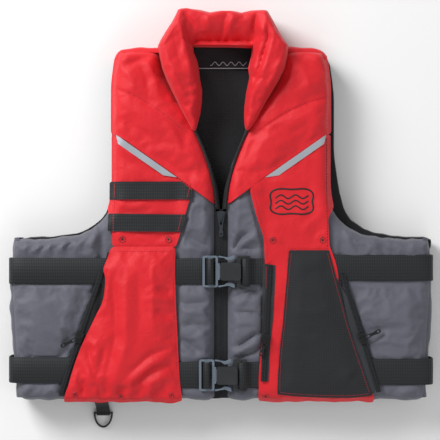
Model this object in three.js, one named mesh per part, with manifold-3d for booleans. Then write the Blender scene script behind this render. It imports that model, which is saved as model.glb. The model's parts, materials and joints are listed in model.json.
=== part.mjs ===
// A foam life vest with a roll collar, lying on its back with the front zipped and both belts buckled.
// Millimetres. +Z is up, away from the surface it lies on, +Y runs towards the collar, and +X is the viewer's right.
// The origin is on the back's flat outer face, on the line of the front zipper.

import * as THREE from "three";
import { mergeVertices } from "three/addons/utils/BufferGeometryUtils.js";
import Module from "manifold-3d";

const wasm = await Module();
wasm.setup();

// ---- Driving sizes --------------------------------------------------------------------------------------------
const FOAM = 22; // closed-cell foam slab
const SHELL = 2; // nylon shell with its seam
const LINING = 1.6; // mesh lining
const GAP = 0.3; // air between pieces that touch
const BODY_SPACE = 10; // height of the flattened space for the wearer
const WEB = 2; // webbing thickness
const BELT = 38; // belt webbing width
const BAND = 26; // width of the webbing bands on the chest
const TAB = 20; // width of the hem tab's webbing
const PANEL = 1.5; // red panels sewn onto the shell
const POCKET = 6; // height of a pocket's inside
const RELEASE = 26; // how far a buckle's halves draw apart

// ---- Levels, from the floor up ---------------------------------------------------------------------------------
const BACK_TOP = SHELL + FOAM + 2 * GAP;
const BACK_LINING = BACK_TOP + GAP;
const FRONT_LINING = BACK_LINING + LINING + BODY_SPACE;
const FRONT_BOTTOM = FRONT_LINING + LINING + GAP;
const FRONT_TOP = FRONT_BOTTOM + FOAM + 2 * GAP + SHELL;
const BELT_Z = FRONT_TOP + GAP;
const PANEL_Z = BELT_Z + WEB + GAP;
const TRIM_Z = PANEL_Z + PANEL + GAP;
const BUCKLE_Z = BELT_Z + WEB + 0.5;
const COLLAR_TOP = FRONT_TOP + 30;

// ---- Materials -------------------------------------------------------------------------------------------------
const material = (color, roughness, metalness = 0) =>
  new THREE.MeshStandardMaterial({ color, roughness, metalness });
const redNylon = material(0xd9232b, 0.6);
const greyNylon = material(0x62626c, 0.65);
const blackNylon = material(0x26272a, 0.7);
const blackMesh = material(0x1c1d20, 0.85);
const blackWebbing = material(0x2c2e30, 0.75);
const coarseNylon = material(0x2a2b2f, 0.8);
const foamRubber = material(0xd8d8d2, 0.9);
const reflective = material(0xa9b0b8, 0.4, 0.1);
const zipTape = material(0x1d1e20, 0.7);
const gunmetal = material(0x6f7680, 0.35, 0.8);
const blackMetal = material(0x232427, 0.45, 0.6);
const frameAcetal = material(0x77828e, 0.4);
const socketAcetal = material(0x3a3c42, 0.45);

// ---- Solids ----------------------------------------------------------------------------------------------------
// A closed geometry as a manifold solid.
function solid(geometry) {
  const plain = geometry.index ? geometry.toNonIndexed() : geometry;
  const bare = new THREE.BufferGeometry().setAttribute("position", plain.getAttribute("position"));
  const merged = mergeVertices(bare, 1e-4);
  return new wasm.Manifold(
    new wasm.Mesh({
      numProp: 3,
      vertProperties: merged.attributes.position.array,
      triVerts: new Uint32Array(merged.index.array),
    }),
  );
}

// A manifold solid as a named mesh.
function piece(name, body, look) {
  const made = body.getMesh();
  const geometry = new THREE.BufferGeometry();
  geometry.setAttribute("position", new THREE.BufferAttribute(made.vertProperties, 3));
  geometry.setIndex(new THREE.BufferAttribute(made.triVerts, 1));
  geometry.computeVertexNormals();
  const mesh = new THREE.Mesh(geometry, look);
  mesh.name = name;
  return mesh;
}

const shapeOf = (points) => new THREE.Shape(points.map(([x, y]) => new THREE.Vector2(x, y)));

// An upright prism: an outline in X and Y, from z0 to z1, with openings through it.
function prism(points, z0, z1, holes = []) {
  const geometry = new THREE.ExtrudeGeometry(shapeOf(points), { depth: z1 - z0, bevelEnabled: false });
  const full = solid(geometry.translate(0, 0, z0));
  return holes.reduce((left, hole) => left.subtract(prism(hole, z0 - 1, z1 + 1)), full);
}

// A strip whose outline is in X and Z, running along Y from y0 to y1.
function alongY(points, y0, y1) {
  const geometry = new THREE.ExtrudeGeometry(shapeOf(points), { depth: y1 - y0, bevelEnabled: false });
  return solid(geometry.rotateX(Math.PI / 2).translate(0, y1, 0));
}

// A strip whose outline is in Y and Z, running along X from x0 to x1.
function alongX(points, x0, x1) {
  const geometry = new THREE.ExtrudeGeometry(shapeOf(points), { depth: x1 - x0, bevelEnabled: false });
  return solid(geometry.rotateX(Math.PI / 2).rotateZ(Math.PI / 2).translate(x0, 0, 0));
}

function box(x0, x1, y0, y1, z0, z1) {
  const geometry = new THREE.BoxGeometry(x1 - x0, y1 - y0, z1 - z0);
  return solid(geometry.translate((x0 + x1) / 2, (y0 + y1) / 2, (z0 + z1) / 2));
}

// An outline with each corner cut back by radius and rounded with a short arc.
function rounded(points, radius, steps = 2) {
  const out = [];
  points.forEach(([x, y], i) => {
    const corner = new THREE.Vector2(x, y);
    const before = new THREE.Vector2(...points[(i + points.length - 1) % points.length]).sub(corner);
    const after = new THREE.Vector2(...points[(i + 1) % points.length]).sub(corner);
    const cut = Math.min(radius, before.length() * 0.45, after.length() * 0.45);
    const from = corner.clone().add(before.setLength(cut));
    const to = corner.clone().add(after.setLength(cut));
    const arc = new THREE.QuadraticBezierCurve(from, corner, to);
    arc.getPoints(steps).forEach((p) => out.push([p.x, p.y]));
  });
  return out;
}

// A counter-clockwise outline moved inwards by a distance, each corner along its mitre.
function inset(points, distance) {
  return points.map(([x, y], i) => {
    const [px, py] = points[(i + points.length - 1) % points.length];
    const [qx, qy] = points[(i + 1) % points.length];
    const a = new THREE.Vector2(py - y, x - px).normalize();
    const b = new THREE.Vector2(y - qy, qx - x).normalize();
    const mitre = a.clone().add(b).normalize();
    const reach = distance / Math.max(mitre.dot(a), 0.5);
    return [x + mitre.x * reach, y + mitre.y * reach];
  });
}

const mirrored = (points) => points.map(([x, y]) => [-x, y]).reverse();

// ---- Outlines, counter-clockwise, of the side at +X -------------------------------------------------------------
const HEM = -262;
const ZIP_EDGE = 9; // from the zipper's line to the edge of each front panel
const SIDE = 303; // from the zipper's line to the side fold
const SHOULDER = 246; // where the front and back shells stop at the shoulder
const NECK = 253; // where the collar is sewn to the back

// The neckline of the front, from the shoulder down to the chest.
const NECKLINE = [[95, SHOULDER - 1], [88, 212], [70, 182], [37, 130]];

// Half of the front shell: hem, side, armhole, shoulder, and the neckline down to the zipper.
const FRONT_HALF = [
  [ZIP_EDGE, HEM], [SIDE - 6, HEM], [SIDE - 3, -200], [SIDE + 3, -110], [SIDE, -28],
  [262, -31], [205, -23], [180, -9], [162, 12], [156, 45], [156, 200], [150, SHOULDER - 1],
  ...NECKLINE, [17, 80], [ZIP_EDGE, 48],
];
// Half of the back, a little larger at the armhole and closed at the neck.
const BACK_HALF = [
  [SIDE - 5, HEM - 2], [SIDE - 2, -200], [SIDE + 3, -110], [SIDE, -26],
  [262, -27], [210, -20], [188, -8], [170, 8], [162, 40], [162, 190], [154, SHOULDER - 1],
  [95, SHOULDER - 1], [60, NECK],
];
const BACK = [...BACK_HALF, ...mirrored(BACK_HALF)];
const SIDE_FOAM_EDGE = 176; // the hinge seam between the chest foam and the side foam

const scene = new THREE.Group();

// ---- Back: an outer shell with the foam in it, the mesh lining, and the facing under the collar -------------------
function tray(outline, z0, z1, openUp) {
  const well = prism(inset(outline, SHELL), openUp ? z0 + SHELL : z0 - 1, openUp ? z1 + 1 : z1 - SHELL);
  return prism(outline, z0, z1).subtract(well);
}
const backOutline = rounded(BACK, 14);
scene.add(
  piece("back_cover", tray(backOutline, 0, BACK_TOP, true), blackNylon),
  piece("back_foam", prism(inset(backOutline, SHELL + GAP), SHELL + GAP, SHELL + GAP + FOAM), foamRubber),
  piece("back_lining", prism(backOutline, BACK_LINING, BACK_LINING + LINING), blackMesh),
);
const facing = [[-52, 224], [52, 224], [58, 250], [-58, 250]];
const FACING_Z = BACK_LINING + LINING + GAP;
scene.add(piece("neck_facing", prism(facing, FACING_Z, FACING_Z + 1), blackNylon));

// ---- Front shells: each an inverted tray with two foam slabs and a lining -----------------------------------------
for (const [side, flip] of [["left", mirrored], ["right", (points) => points]]) {
  const outline = rounded(flip(FRONT_HALF), 10);
  const foamOutline = inset(outline, SHELL + GAP);
  const foamZ = FRONT_BOTTOM + GAP;
  const slab = prism(foamOutline, foamZ, foamZ + FOAM);
  const sign = side === "left" ? -1 : 1;
  const far = sign * (SIDE + 40);
  const cut = (a, b) => box(Math.min(a, b), Math.max(a, b), HEM - 20, SHOULDER + 20, 0, COLLAR_TOP);
  scene.add(
    piece(`front_${side}_cover`, tray(outline, FRONT_BOTTOM, FRONT_TOP, false), greyNylon),
    piece(`front_${side}_chest_foam`, slab.intersect(cut(0, sign * (SIDE_FOAM_EDGE - 1))), foamRubber),
    piece(`front_${side}_side_foam`, slab.intersect(cut(sign * (SIDE_FOAM_EDGE + 1), far)), foamRubber),
    piece(`front_${side}_lining`, prism(outline, FRONT_LINING, FRONT_LINING + LINING), blackMesh),
  );
}

// ---- Side folds and shoulders join the front to the back ------------------------------------------------------------
const FOLD = 3; // thickness of the side fold
const sideFold = [
  [SIDE - 5, HEM], [SIDE - 2, -200], [SIDE + 3.4, -110], [SIDE + 0.4, -28],
].map(([x, y]) => [x + GAP, y]);
const foldOutline = [...sideFold, ...sideFold.map(([x, y]) => [x + FOLD, y]).reverse()].reverse();
const shoulderOutline = [
  [96, SHOULDER + 0.6], [149, SHOULDER + 0.6], [147, 251], [125, 255], [98, 255.5],
];
for (const [side, flip] of [["left", mirrored], ["right", (points) => points]]) {
  scene.add(
    piece(`side_fold_${side}`, prism(flip(foldOutline), 5, FRONT_TOP - 2), greyNylon),
    piece(`shoulder_${side}`, prism(flip(shoulderOutline), 4, FRONT_TOP), redNylon),
  );
}

// ---- Red yokes over the chest, sewn at the shoulder, with the reflective strip under each lower edge ----------------
// Both sides have the same cut, apart from a few millimetres of lie.
const yoke = [
  [8, 21], [60, 60.4], [160, 131], [160, 200], [157, 240], [147, 251],
  [125, 255], [97, 255.5], [90, 214], [72, 183], [39, 132], [24, 98], [12, 68], [7.5, 45],
];
const strip = [[84, 65], [150, 111], [154, 125], [64, 62]];
for (const [side, flip] of [["left", mirrored], ["right", (points) => points]]) {
  scene.add(
    piece(`yoke_${side}`, prism(flip(yoke), TRIM_Z, TRIM_Z + SHELL), redNylon),
    piece(`reflective_strip_${side}`, prism(flip(strip), TRIM_Z, TRIM_Z + 0.6), reflective),
  );
}

// ---- Collar: a padded roll along the back neck, and a padded leaf down each side of the opening ---------------------
const COLLAR_Z = 12;
const collarBack = [[-46, NECK + 2.5], [52, NECK + 2.5], [60, 304], [42, 306], [30, 303], [0, 306], [-16, 304], [-55, 306]];
scene.add(piece("collar_back", prism(rounded(collarBack, 4), COLLAR_Z, COLLAR_Z + 32), redNylon));
const leafOutline = [
  ...NECKLINE.map(([x, y]) => [x - 1.5, y + 1]).reverse(), [94.5, 258], [81, 281], [68, 306],
  [61, 304], [52.5, NECK + 2], [47, 250], [46, 240], [41, 222], [42, 207], [38, 190], [36, 165],
];
for (const [side, flip] of [["left", mirrored], ["right", (points) => points]]) {
  const outline = flip(leafOutline);
  const whole = prism(rounded(outline, 3, 1), COLLAR_Z, COLLAR_TOP);
  const underside = box(-120, 120, 120, NECK + 6, 0, FRONT_TOP - 8);
  scene.add(piece(`collar_${side}`, whole.subtract(underside), redNylon));
}

// ---- Belts: 38 mm webbing, folded round the side and sewn into the side seam ---------------------------------------
// Each belt's buckle centre, and the height on the body where the belt meets each side fold.
const BELTS = {
  upper: { x: 0, y: -75, left: -74.5, right: -70 },
  lower: { x: -5, y: -226, left: -219, right: -221.5 },
};
const TURN = SIDE + 9; // outer face of a belt where it turns down at the side
const BELT_END = 8; // lowest point of a belt's end
const HOOK = 12; // height of the webbing over a buckle bar
const LADDER_BAR = -15.5; // centre lines of the bars that the webbing goes round, from the buckle's centre
const END_BAR = 34.6;

// The webbing's loop over a buckle bar, open on the side that the belt arrives from.
function beltHook(bar, from, half) {
  const s = Math.sign(from - bar);
  const inner = half + 0.6;
  const top = BELT_Z + HOOK - WEB;
  const outline = [
    [from, BELT_Z], [bar - s * (inner + WEB), BELT_Z], [bar - s * (inner + WEB), top + WEB],
    [bar + s * (inner + WEB), top + WEB], [bar + s * (inner + WEB), BELT_Z + WEB + GAP],
    [bar + s * inner, BELT_Z + WEB + GAP], [bar + s * inner, top], [bar - s * inner, top],
    [bar - s * inner, BELT_Z + WEB], [from, BELT_Z + WEB],
  ];
  return s > 0 ? outline.reverse() : outline;
}

// The run of a belt along the side panel, turned down round the side fold.
function sideRun(inner, ySide) {
  const outline = [
    [inner, BELT_Z], [TURN - WEB, BELT_Z], [TURN - WEB, BELT_END], [TURN, BELT_END],
    [TURN, BELT_Z + WEB - 1], [TURN - 1, BELT_Z + WEB], [inner, BELT_Z + WEB],
  ];
  return (flip) => alongY(flip(outline), ySide - BELT / 2, ySide + BELT / 2);
}
const STRAP_START = -120; // inner end of each adjusting strap, in its tunnel under the pocket
for (const [level, { x, y, left, right }] of Object.entries(BELTS)) {
  const strap = alongY(beltHook(x + LADDER_BAR, STRAP_START, 3), y - BELT / 2, y + BELT / 2);
  const hook = alongY(beltHook(x + END_BAR, 160, 2.2), y - BELT / 2, y + BELT / 2);
  const belt = hook.add(sideRun(150, right)((points) => points));
  scene.add(
    piece(`${level}_belt_left`, sideRun(-STRAP_START + RELEASE + 2, left)(mirrored), blackWebbing),
    piece(`${level}_belt_right`, belt, blackWebbing),
    piece(`${level}_buckle_strap`, strap, blackWebbing),
  );
}

// ---- Side-release buckles: a ladder frame with a tongue, two squeeze arms, and a socket -----------------------------
const HALF = 23; // half the buckle's width across the belt
const FRAME = 4; // thickness of the frame
const TONGUE_Z = BUCKLE_Z + 3;
const SOCKET_TOP = BUCKLE_Z + 10;
const ARM_ROOT = -3; // where a squeeze arm springs from the frame

// The frame: two slots with the ladder bar between them, and the tongue that enters the socket.
function buckleFrame() {
  const outer = rounded([[-27, -HALF], [-4.5, -HALF], [-4.5, HALF], [-27, HALF]], 3);
  const slotA = [[-23.5, -20], [-19, -20], [-19, 20], [-23.5, 20]];
  const slotB = [[-12, -20], [-8, -20], [-8, 20], [-12, 20]];
  const frame = prism(outer, BUCKLE_Z, BUCKLE_Z + FRAME, [slotA, slotB]);
  const neck = prism([[-5, -12], [-2, -12], [-2, 12], [-5, 12]], BUCKLE_Z, TONGUE_Z + 3);
  const tongue = prism([[-3, -9], [16, -9], [20, -5], [20, 5], [16, 9], [-3, 9]], TONGUE_Z, TONGUE_Z + 3);
  return frame.add(neck).add(tongue);
}

// One squeeze arm: thin at its root, swelling to the grip at its tip.
const armOutline = [
  [ARM_ROOT - 1.1, 20.6], [4, 19.6], [10, 15.6], [16, 16.2], [20, 19], [20, 24], [17, 23.2],
  [11, 20.6], [4, 21.6], [-1, 22.8], [ARM_ROOT - 1.1, 22.8],
];
const arm = (sign) => {
  const outline = sign > 0 ? armOutline : armOutline.map(([x, y]) => [x, -y]).reverse();
  return prism(outline, BUCKLE_Z + 0.4, BUCKLE_Z + FRAME + 1);
};

// The socket: a hollow body open towards the frame, with a cross bar behind it for the belt.
function buckleSocket() {
  const body = prism(rounded([[-1.5, -13], [29, -13], [29, 13], [-1.5, 13]], 4), BUCKLE_Z, SOCKET_TOP);
  const mouth = box(-4, 22, -9.6, 9.6, TONGUE_Z - 0.6, TONGUE_Z + 3.6);
  const outer = [[22, -14], [23, -HALF], [43, -HALF], [43, HALF], [23, HALF], [22, 14]];
  const slot = [[29.2, -20], [32.2, -20], [32.2, 20], [29.2, 20]];
  const window = [[37, -20], [40, -20], [40, 20], [37, 20]];
  const back = prism(rounded(outer, 2), BUCKLE_Z, BUCKLE_Z + 5);
  const through = prism(slot, BUCKLE_Z - 1, SOCKET_TOP + 1).add(prism(window, BUCKLE_Z - 1, SOCKET_TOP + 1));
  return body.add(back).subtract(mouth).subtract(through);
}
for (const [level, { x, y }] of Object.entries(BELTS)) {
  const buckle = new THREE.Group();
  buckle.position.set(x, y, 0);
  buckle.add(
    piece(`${level}_buckle_frame`, buckleFrame(), frameAcetal),
    piece(`${level}_buckle_arm_top`, arm(1), frameAcetal),
    piece(`${level}_buckle_arm_bottom`, arm(-1), frameAcetal),
    piece(`${level}_buckle_socket`, buckleSocket(), socketAcetal),
  );
  scene.add(buckle);
}

// ---- Left chest: a red panel with two webbing bands for clipping tools to ---------------------------------------------
const leftChest = [
  [-66, -40], [-59, -18], [-52, 8], [-46, 30], [-40, 46], [-60, 61], [-152, 129],
  [-157, 100], [-158, 40], [-159.5, 8], [-159, -40],
].reverse();
scene.add(piece("chest_panel_left", prism(leftChest, PANEL_Z, PANEL_Z + PANEL), redNylon));
const bandUpper = [[-160, 30], [-45, 30], [-41, 42.5], [-57, 56], [-160, 56]];
const bandLower = [[-161, -16.5], [-58, -17.5], [-50, 8], [-161, 9.5]];
scene.add(
  piece("webbing_band_upper", prism(bandUpper, TRIM_Z, TRIM_Z + WEB), blackWebbing),
  piece("webbing_band_lower", prism(bandLower, TRIM_Z, TRIM_Z + WEB), blackWebbing),
);

// ---- Zippers ------------------------------------------------------------------------------------------------------------
const RIDGE = 2.8; // half width of a closed chain
const SLOT = 0.7; // half width of the groove that a slider's keel runs in
const PLATE = 1.8; // thickness of a slider's top plate

// A slider about its own centre: a shield-shaped plate, side flanges, a keel, and a bail turned to bailTurn.
function slider(z, keelDepth, bailTurn) {
  const plate = prism([[-4.2, -8], [4.2, -8], [5.4, 2], [5.4, 7], [2, 8], [-2, 8], [-5.4, 7], [-5.4, 2]], z, z + PLATE);
  const flange = box(3.4, 4.2, -7, 7, z - 1.6, z + 0.2).add(box(-4.2, -3.4, -7, 7, z - 1.6, z + 0.2));
  const keel = box(-0.35, 0.35, -7, 7, z - keelDepth, z + 0.2);
  const arch = [
    [-5, z + 1], [-3.6, z + 1], [-3.6, z + 5], [3.6, z + 5], [3.6, z + 1], [5, z + 1], [5, z + 6.2], [-5, z + 6.2],
  ];
  const bail = alongX(arch, -0.9, 0.9).rotate([0, 0, bailTurn]);
  return plate.add(flange).add(keel).add(bail);
}

// A pull, hanging from the origin towards -Y: a window over the bail, a neck, and a ring at the end.
function pull(length, z) {
  const outline = [
    [-3.4, -2], [-2.6, -length * 0.42], [-2, -length * 0.6], [-3, -length * 0.75], [-3, -length + 2],
    [-1.4, -length], [1.4, -length], [3, -length + 2], [3, -length * 0.75], [2, -length * 0.6],
    [2.6, -length * 0.42], [3.4, -2], [3.4, 0.9], [-3.4, 0.9],
  ];
  const window = [[-2, -0.9], [2, -0.9], [1.5, -length * 0.38], [-1.5, -length * 0.38]];
  const eye = [[-1.3, -length + 2.6], [1.3, -length + 2.6], [1.3, -length + 5.6], [-1.3, -length + 5.6]];
  return prism(outline, z - 0.9, z + 0.9, [window, eye]);
}

// The main zipper: two tapes with a row of teeth each, sewn to the edges of the front panels.
const MAIN_Z = FRONT_TOP - 8.5; // underside of the main slider's plate
const ZIP_TOP = 16;
const half = [
  [-ZIP_EDGE + GAP, MAIN_Z - 3.4], [-RIDGE, MAIN_Z - 3.4], [-RIDGE, MAIN_Z - 4.4], [-SLOT, MAIN_Z - 4.4],
  [-SLOT, MAIN_Z - GAP], [-RIDGE, MAIN_Z - GAP], [-RIDGE, MAIN_Z - 2.2], [-ZIP_EDGE + GAP, MAIN_Z - 2.2],
];
scene.add(
  piece("main_zip_tape_left", alongY(half, HEM + 2, ZIP_TOP), zipTape),
  piece("main_zip_tape_right", alongY(mirrored(half), HEM + 2, ZIP_TOP), zipTape),
);
const mainSlider = new THREE.Group();
mainSlider.position.set(0, 5, 0);
const mainPull = piece("main_zip_pull", pull(27, MAIN_Z + 3.4), gunmetal);
mainPull.position.y = -2.4;
mainSlider.add(piece("main_zip_slider", slider(MAIN_Z, 4, 0), gunmetal), mainPull);
scene.add(mainSlider);

// A pocket zipper: one tape with the chain along it, its slider at a distance along, and the pull turned aside.
const TAPE = 5.4; // half width of a pocket zipper's tape
function pocketZipper(name, start, end, z, along, pullTurn, pullLength) {
  const run = new THREE.Vector2(end[0] - start[0], end[1] - start[1]);
  const group = new THREE.Group();
  group.position.set(start[0], start[1], 0);
  group.rotation.z = run.angle() + Math.PI / 2;
  const section = [
    [-TAPE, z], [TAPE, z], [TAPE, z + 1], [RIDGE, z + 1], [RIDGE, z + 2.4], [SLOT, z + 2.4], [SLOT, z + 1],
    [-SLOT, z + 1], [-SLOT, z + 2.4], [-RIDGE, z + 2.4], [-RIDGE, z + 1], [-TAPE, z + 1],
  ];
  const at = new THREE.Group();
  at.position.y = -along;
  const tab = piece(`${name}_zip_pull`, pull(pullLength, z + 2.7 + 3.4), blackMetal);
  tab.rotation.z = THREE.MathUtils.degToRad(pullTurn);
  at.add(piece(`${name}_zip_slider`, slider(z + 2.7, 1.3, pullTurn), blackMetal), tab);
  group.add(piece(`${name}_zip_tape`, alongY(section, -run.length(), 0), zipTape), at);
  return group;
}

// ---- Left pocket: a red bellows open along the slanted zipper, over a black lining ----------------------------------------
const leftPocket = [
  [-161, -42.5], [-165, -78], [-167, -110], [-184, -160], [-200, -200], [-222, -260],
  [-57, HEM], [-63, -200], [-66.5, -100], [-66.5, -42.5],
];
// A pocket's front: walls on the closed sides, and no wall along the side that wall() removes.
function bellows(outline, z, mouth) {
  const shell = prism(outline, z, z + POCKET + PANEL);
  const inside = prism(inset(outline, SHELL), z - 1, z + POCKET);
  return shell.subtract(inside).subtract(prism(mouth, z - 1, z + POCKET));
}
const leftMouth = [[-174, -80], [-236, -254], [-190, -254], [-150, -80]];
scene.add(
  piece("pocket_left_lining", prism(leftPocket, PANEL_Z, PANEL_Z + PANEL), blackNylon),
  piece("pocket_left", bellows(leftPocket, TRIM_Z, leftMouth), redNylon),
  pocketZipper("pocket_left", [-174, -77], [-233, -250], PANEL_Z, 99, -45, 30),
);

// ---- Right chest and pocket: a red panel, a coarse black bellows, and a zipper on each side of it ---------------------------
const rightPanel = [
  [41, 46], [46, 28], [52, 4], [62, -24], [64, -60], [61, -160], [55, -225], [55, HEM],
  [224, HEM], [219, -238], [202, -186], [166, -80], [158, -40], [156, 0], [157, 60], [156, 127.8], [60, 60],
];
const rightPocket = [
  [100, -44], [96, -85], [89, -165], [82, -230], [80, -254], [150, -260], [214, -258], [190, -190],
  [166, -110], [157, -44],
];
const rightMouth = [[164, -84], [184, -84], [232, -250], [192, -250]];
scene.add(
  piece("chest_panel_right", prism(rightPanel, PANEL_Z, PANEL_Z + PANEL), redNylon),
  piece("pocket_right", bellows(rightPocket, TRIM_Z, rightMouth), coarseNylon),
  pocketZipper("pocket_right_outer", [177, -80], [230, -250], PANEL_Z, 97, 98, 29),
  pocketZipper("pocket_right_inner", [71, -64], [61.5, -236], TRIM_Z, 110, -14, 25),
);

// ---- Hem tab: folded webbing that hangs from the front hem to the floor, with a D-ring in its loop -----------------------------
const TAB_X = -176.5;
const LOOP_Y = -289;
const LOOP_R = 4;
const circle = (r, n) => Array.from({ length: n }, (_, i) => [
  r * Math.cos((2 * Math.PI * i) / n), r * Math.sin((2 * Math.PI * i) / n),
]);
const loopAt = (r) => circle(r, 12).map(([y, z]) => [LOOP_Y + y, LOOP_R + z]);
const tabProfile = [
  [LOOP_Y + 3, 1.4], [LOOP_Y + 10, 6], [-272, 22], [-267, 33], [-264.6, 37], [-264.6, 42], [-269, 37.5],
  [-275, 25], [LOOP_Y + 8, 10], [LOOP_Y + 2, 7.2],
];
const tabStrip = alongX(tabProfile, -TAB / 2, TAB / 2).add(alongX(loopAt(LOOP_R), -TAB / 2, TAB / 2));
const tab = piece("hem_tab", tabStrip.subtract(alongX(loopAt(2.4), -TAB, TAB)), blackWebbing);
tab.position.x = TAB_X;

const WIRE = 3;
const ringHalf = 14.5;
const dOutline = [];
const dInner = [];
for (let i = 0; i <= 16; i += 1) {
  const t = Math.PI + (Math.PI * i) / 16;
  dOutline.push([ringHalf * Math.cos(t), 0.2 + 22.5 * Math.sin(t)]);
  dInner.push([(ringHalf - WIRE) * Math.cos(t), -1.3 + (21 - WIRE) * Math.sin(t)]);
}
dOutline.push([ringHalf, 1.5], [-ringHalf, 1.5]);
const ring = piece("d_ring", prism(dOutline, LOOP_R - 1.5, LOOP_R + 1.5, [dInner]), blackMetal);
ring.position.set(TAB_X, LOOP_Y, 0);
scene.add(tab, ring);

export default scene;
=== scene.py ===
import json
import math

import bmesh
import bpy
import numpy as np
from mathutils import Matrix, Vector
from mathutils.geometry import delaunay_2d_cdt


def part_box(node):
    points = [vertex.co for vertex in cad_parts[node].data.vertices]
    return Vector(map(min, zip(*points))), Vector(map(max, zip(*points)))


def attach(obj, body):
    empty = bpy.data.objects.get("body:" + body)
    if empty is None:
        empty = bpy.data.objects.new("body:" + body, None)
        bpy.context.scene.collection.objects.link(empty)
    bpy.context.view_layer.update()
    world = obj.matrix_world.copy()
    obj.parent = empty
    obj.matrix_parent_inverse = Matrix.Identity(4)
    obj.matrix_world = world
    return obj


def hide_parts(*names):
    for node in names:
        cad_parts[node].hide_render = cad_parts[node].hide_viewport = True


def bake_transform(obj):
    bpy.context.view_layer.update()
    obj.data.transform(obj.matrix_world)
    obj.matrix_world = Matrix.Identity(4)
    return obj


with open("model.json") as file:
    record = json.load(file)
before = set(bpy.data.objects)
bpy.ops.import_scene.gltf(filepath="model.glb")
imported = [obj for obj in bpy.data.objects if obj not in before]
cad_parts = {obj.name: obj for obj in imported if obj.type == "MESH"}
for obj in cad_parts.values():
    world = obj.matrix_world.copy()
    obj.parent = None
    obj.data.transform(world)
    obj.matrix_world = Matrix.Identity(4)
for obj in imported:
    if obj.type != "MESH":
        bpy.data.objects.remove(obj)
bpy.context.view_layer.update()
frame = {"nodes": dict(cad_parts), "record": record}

# ---- Front pads ---------------------------------------------------------------------------------------------------
# Two grey nylon shells over closed-cell foam, one each side of the zipper. The nylon is cut larger than the foam, so
# it swells between the belts and gathers into creases where the belts and the red panels hold it down.


def linear(colour):
    """An sRGB hex colour as linear red, green, blue and alpha."""
    part = np.array([int(colour[i : i + 2], 16) for i in (0, 2, 4)]) / 255
    return (*np.where(part <= 0.04045, part / 12.92, ((part + 0.055) / 1.055) ** 2.4), 1.0)


def add(tree, kind, sockets=None, **settings):
    """Adds a shader node with its settings. Each socket is set to a value, or linked if it is given an output."""
    node = tree.nodes.new(kind)
    for name, value in settings.items():
        setattr(node, name, value)
    for key, value in (sockets or {}).items():
        if isinstance(value, bpy.types.NodeSocket):
            tree.links.new(value, node.inputs[key])
        else:
            node.inputs[key].default_value = value
    return node


def texture(tree, kind, place, scale, bands="X", **sockets):
    """A procedural texture node on a place. A wave's scale is given as the millimetres from band to band."""
    if kind == "Wave":
        scale = 2 * math.pi / (20 * scale * 0.001)
    settings = {"bands_direction": bands} if kind == "Wave" else {}
    return add(tree, "ShaderNodeTex" + kind, {"Vector": place, "Scale": scale, **sockets}, **settings)


def mixed(tree, factor, low, high, blend="MIX"):
    """Two colours mixed by a factor. Gives the result's socket."""
    return add(tree, "ShaderNodeMix", {0: factor, 6: low, 7: high}, data_type="RGBA", blend_type=blend).outputs[2]


def bumped(tree, height, strength, distance, **sockets):
    """A bump from a height, to a depth in metres. Gives the bent normal's socket."""
    return add(
        tree, "ShaderNodeBump", {"Height": height, "Strength": strength, "Distance": distance, **sockets}
    ).outputs[0]


def darker(colour, share):
    """A hex colour as linear red, green, blue and alpha, with its light cut down to a share."""
    return (*(channel * share for channel in linear(colour)[:3]), 1.0)


def surfaced(name, build, rough, **sockets):
    """A material with one surface. build(tree, place) adds its textures and gives its colour and normal."""
    material = bpy.data.materials.new(name)
    material.use_nodes = True
    tree = material.node_tree
    tree.nodes.clear()
    colour, normal = build(tree, add(tree, "ShaderNodeTexCoord").outputs["Object"])
    finish = {"Base Color": colour, "Roughness": rough, "Normal": normal}
    finish.update((key.replace("_", " "), value) for key, value in sockets.items())
    surface = add(tree, "ShaderNodeBsdfPrincipled", finish)
    add(tree, "ShaderNodeOutputMaterial", {"Surface": surface.outputs[0]})
    return material


def woven(name, colour, shade, thread, rough, sheen, crumple=0.5, gap_shade=0.2):
    """Woven cloth: two crossing bands of thread for the weave, a soft crumple, and a slow drift between two tones.
    The spaces between threads are darkened by a share, as painted shade. The tones are raised by as much as that
    painted shade takes on average, which is three quarters of that share."""

    def build(tree, place):
        drift = texture(tree, "Noise", place, 16.0, Detail=4.0)
        raised = 1 / (1 - 0.75 * gap_shade)
        tone = mixed(tree, drift.outputs["Fac"], darker(shade, raised), darker(colour, raised))
        warp, weft = (texture(tree, "Wave", place, thread, bands=bands).outputs["Fac"] for bands in "XY")
        weave = add(tree, "ShaderNodeMath", {0: warp, 1: weft}, operation="MULTIPLY").outputs[0]
        fold = texture(tree, "Noise", place, 55.0, Detail=5.0, Distortion=0.6)
        soft = bumped(tree, fold.outputs["Fac"], crumple, 0.003)
        # Painted shade: the colour is darkened where the weave is low, between the threads.
        return mixed(tree, gap_shade, tone, weave, "MULTIPLY"), bumped(tree, weave, 0.35, 0.0003, Normal=soft)

    return surfaced(
        name, build, rough, Specular_IOR_Level=0.3, Sheen_Weight=sheen, Sheen_Roughness=0.5
    )


# Oxford nylon, 1.6 mm across a pair of threads: matt, a little lighter where it turns away from the eye.
grey_nylon = woven("grey_oxford_nylon", "64656f", "575863", 1.6, 0.6, 0.1)


def extent(node):
    """A CAD node's lowest and highest corner, in millimetres."""
    return [np.array(corner) * 1000 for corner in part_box(node)]


def walk(line, step, least, closed=False):
    """A line as evenly spaced points, at least a number of them, found by walking along it. A closed line's last
    point is its first, and is left out."""
    walked = np.concatenate([[0], np.cumsum(np.linalg.norm(np.diff(line, axis=0), axis=1))])
    count = max(least, round(walked[-1] / step) + (not closed))
    at = np.linspace(0, walked[-1], count, endpoint=not closed)
    return np.stack([np.interp(at, walked, line[:, axis]) for axis in range(line.shape[1])], -1)


def spaced(points, step):
    """A closed outline as evenly spaced points."""
    return walk(np.vstack([points, points[:1]]), step, 12, closed=True)


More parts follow.
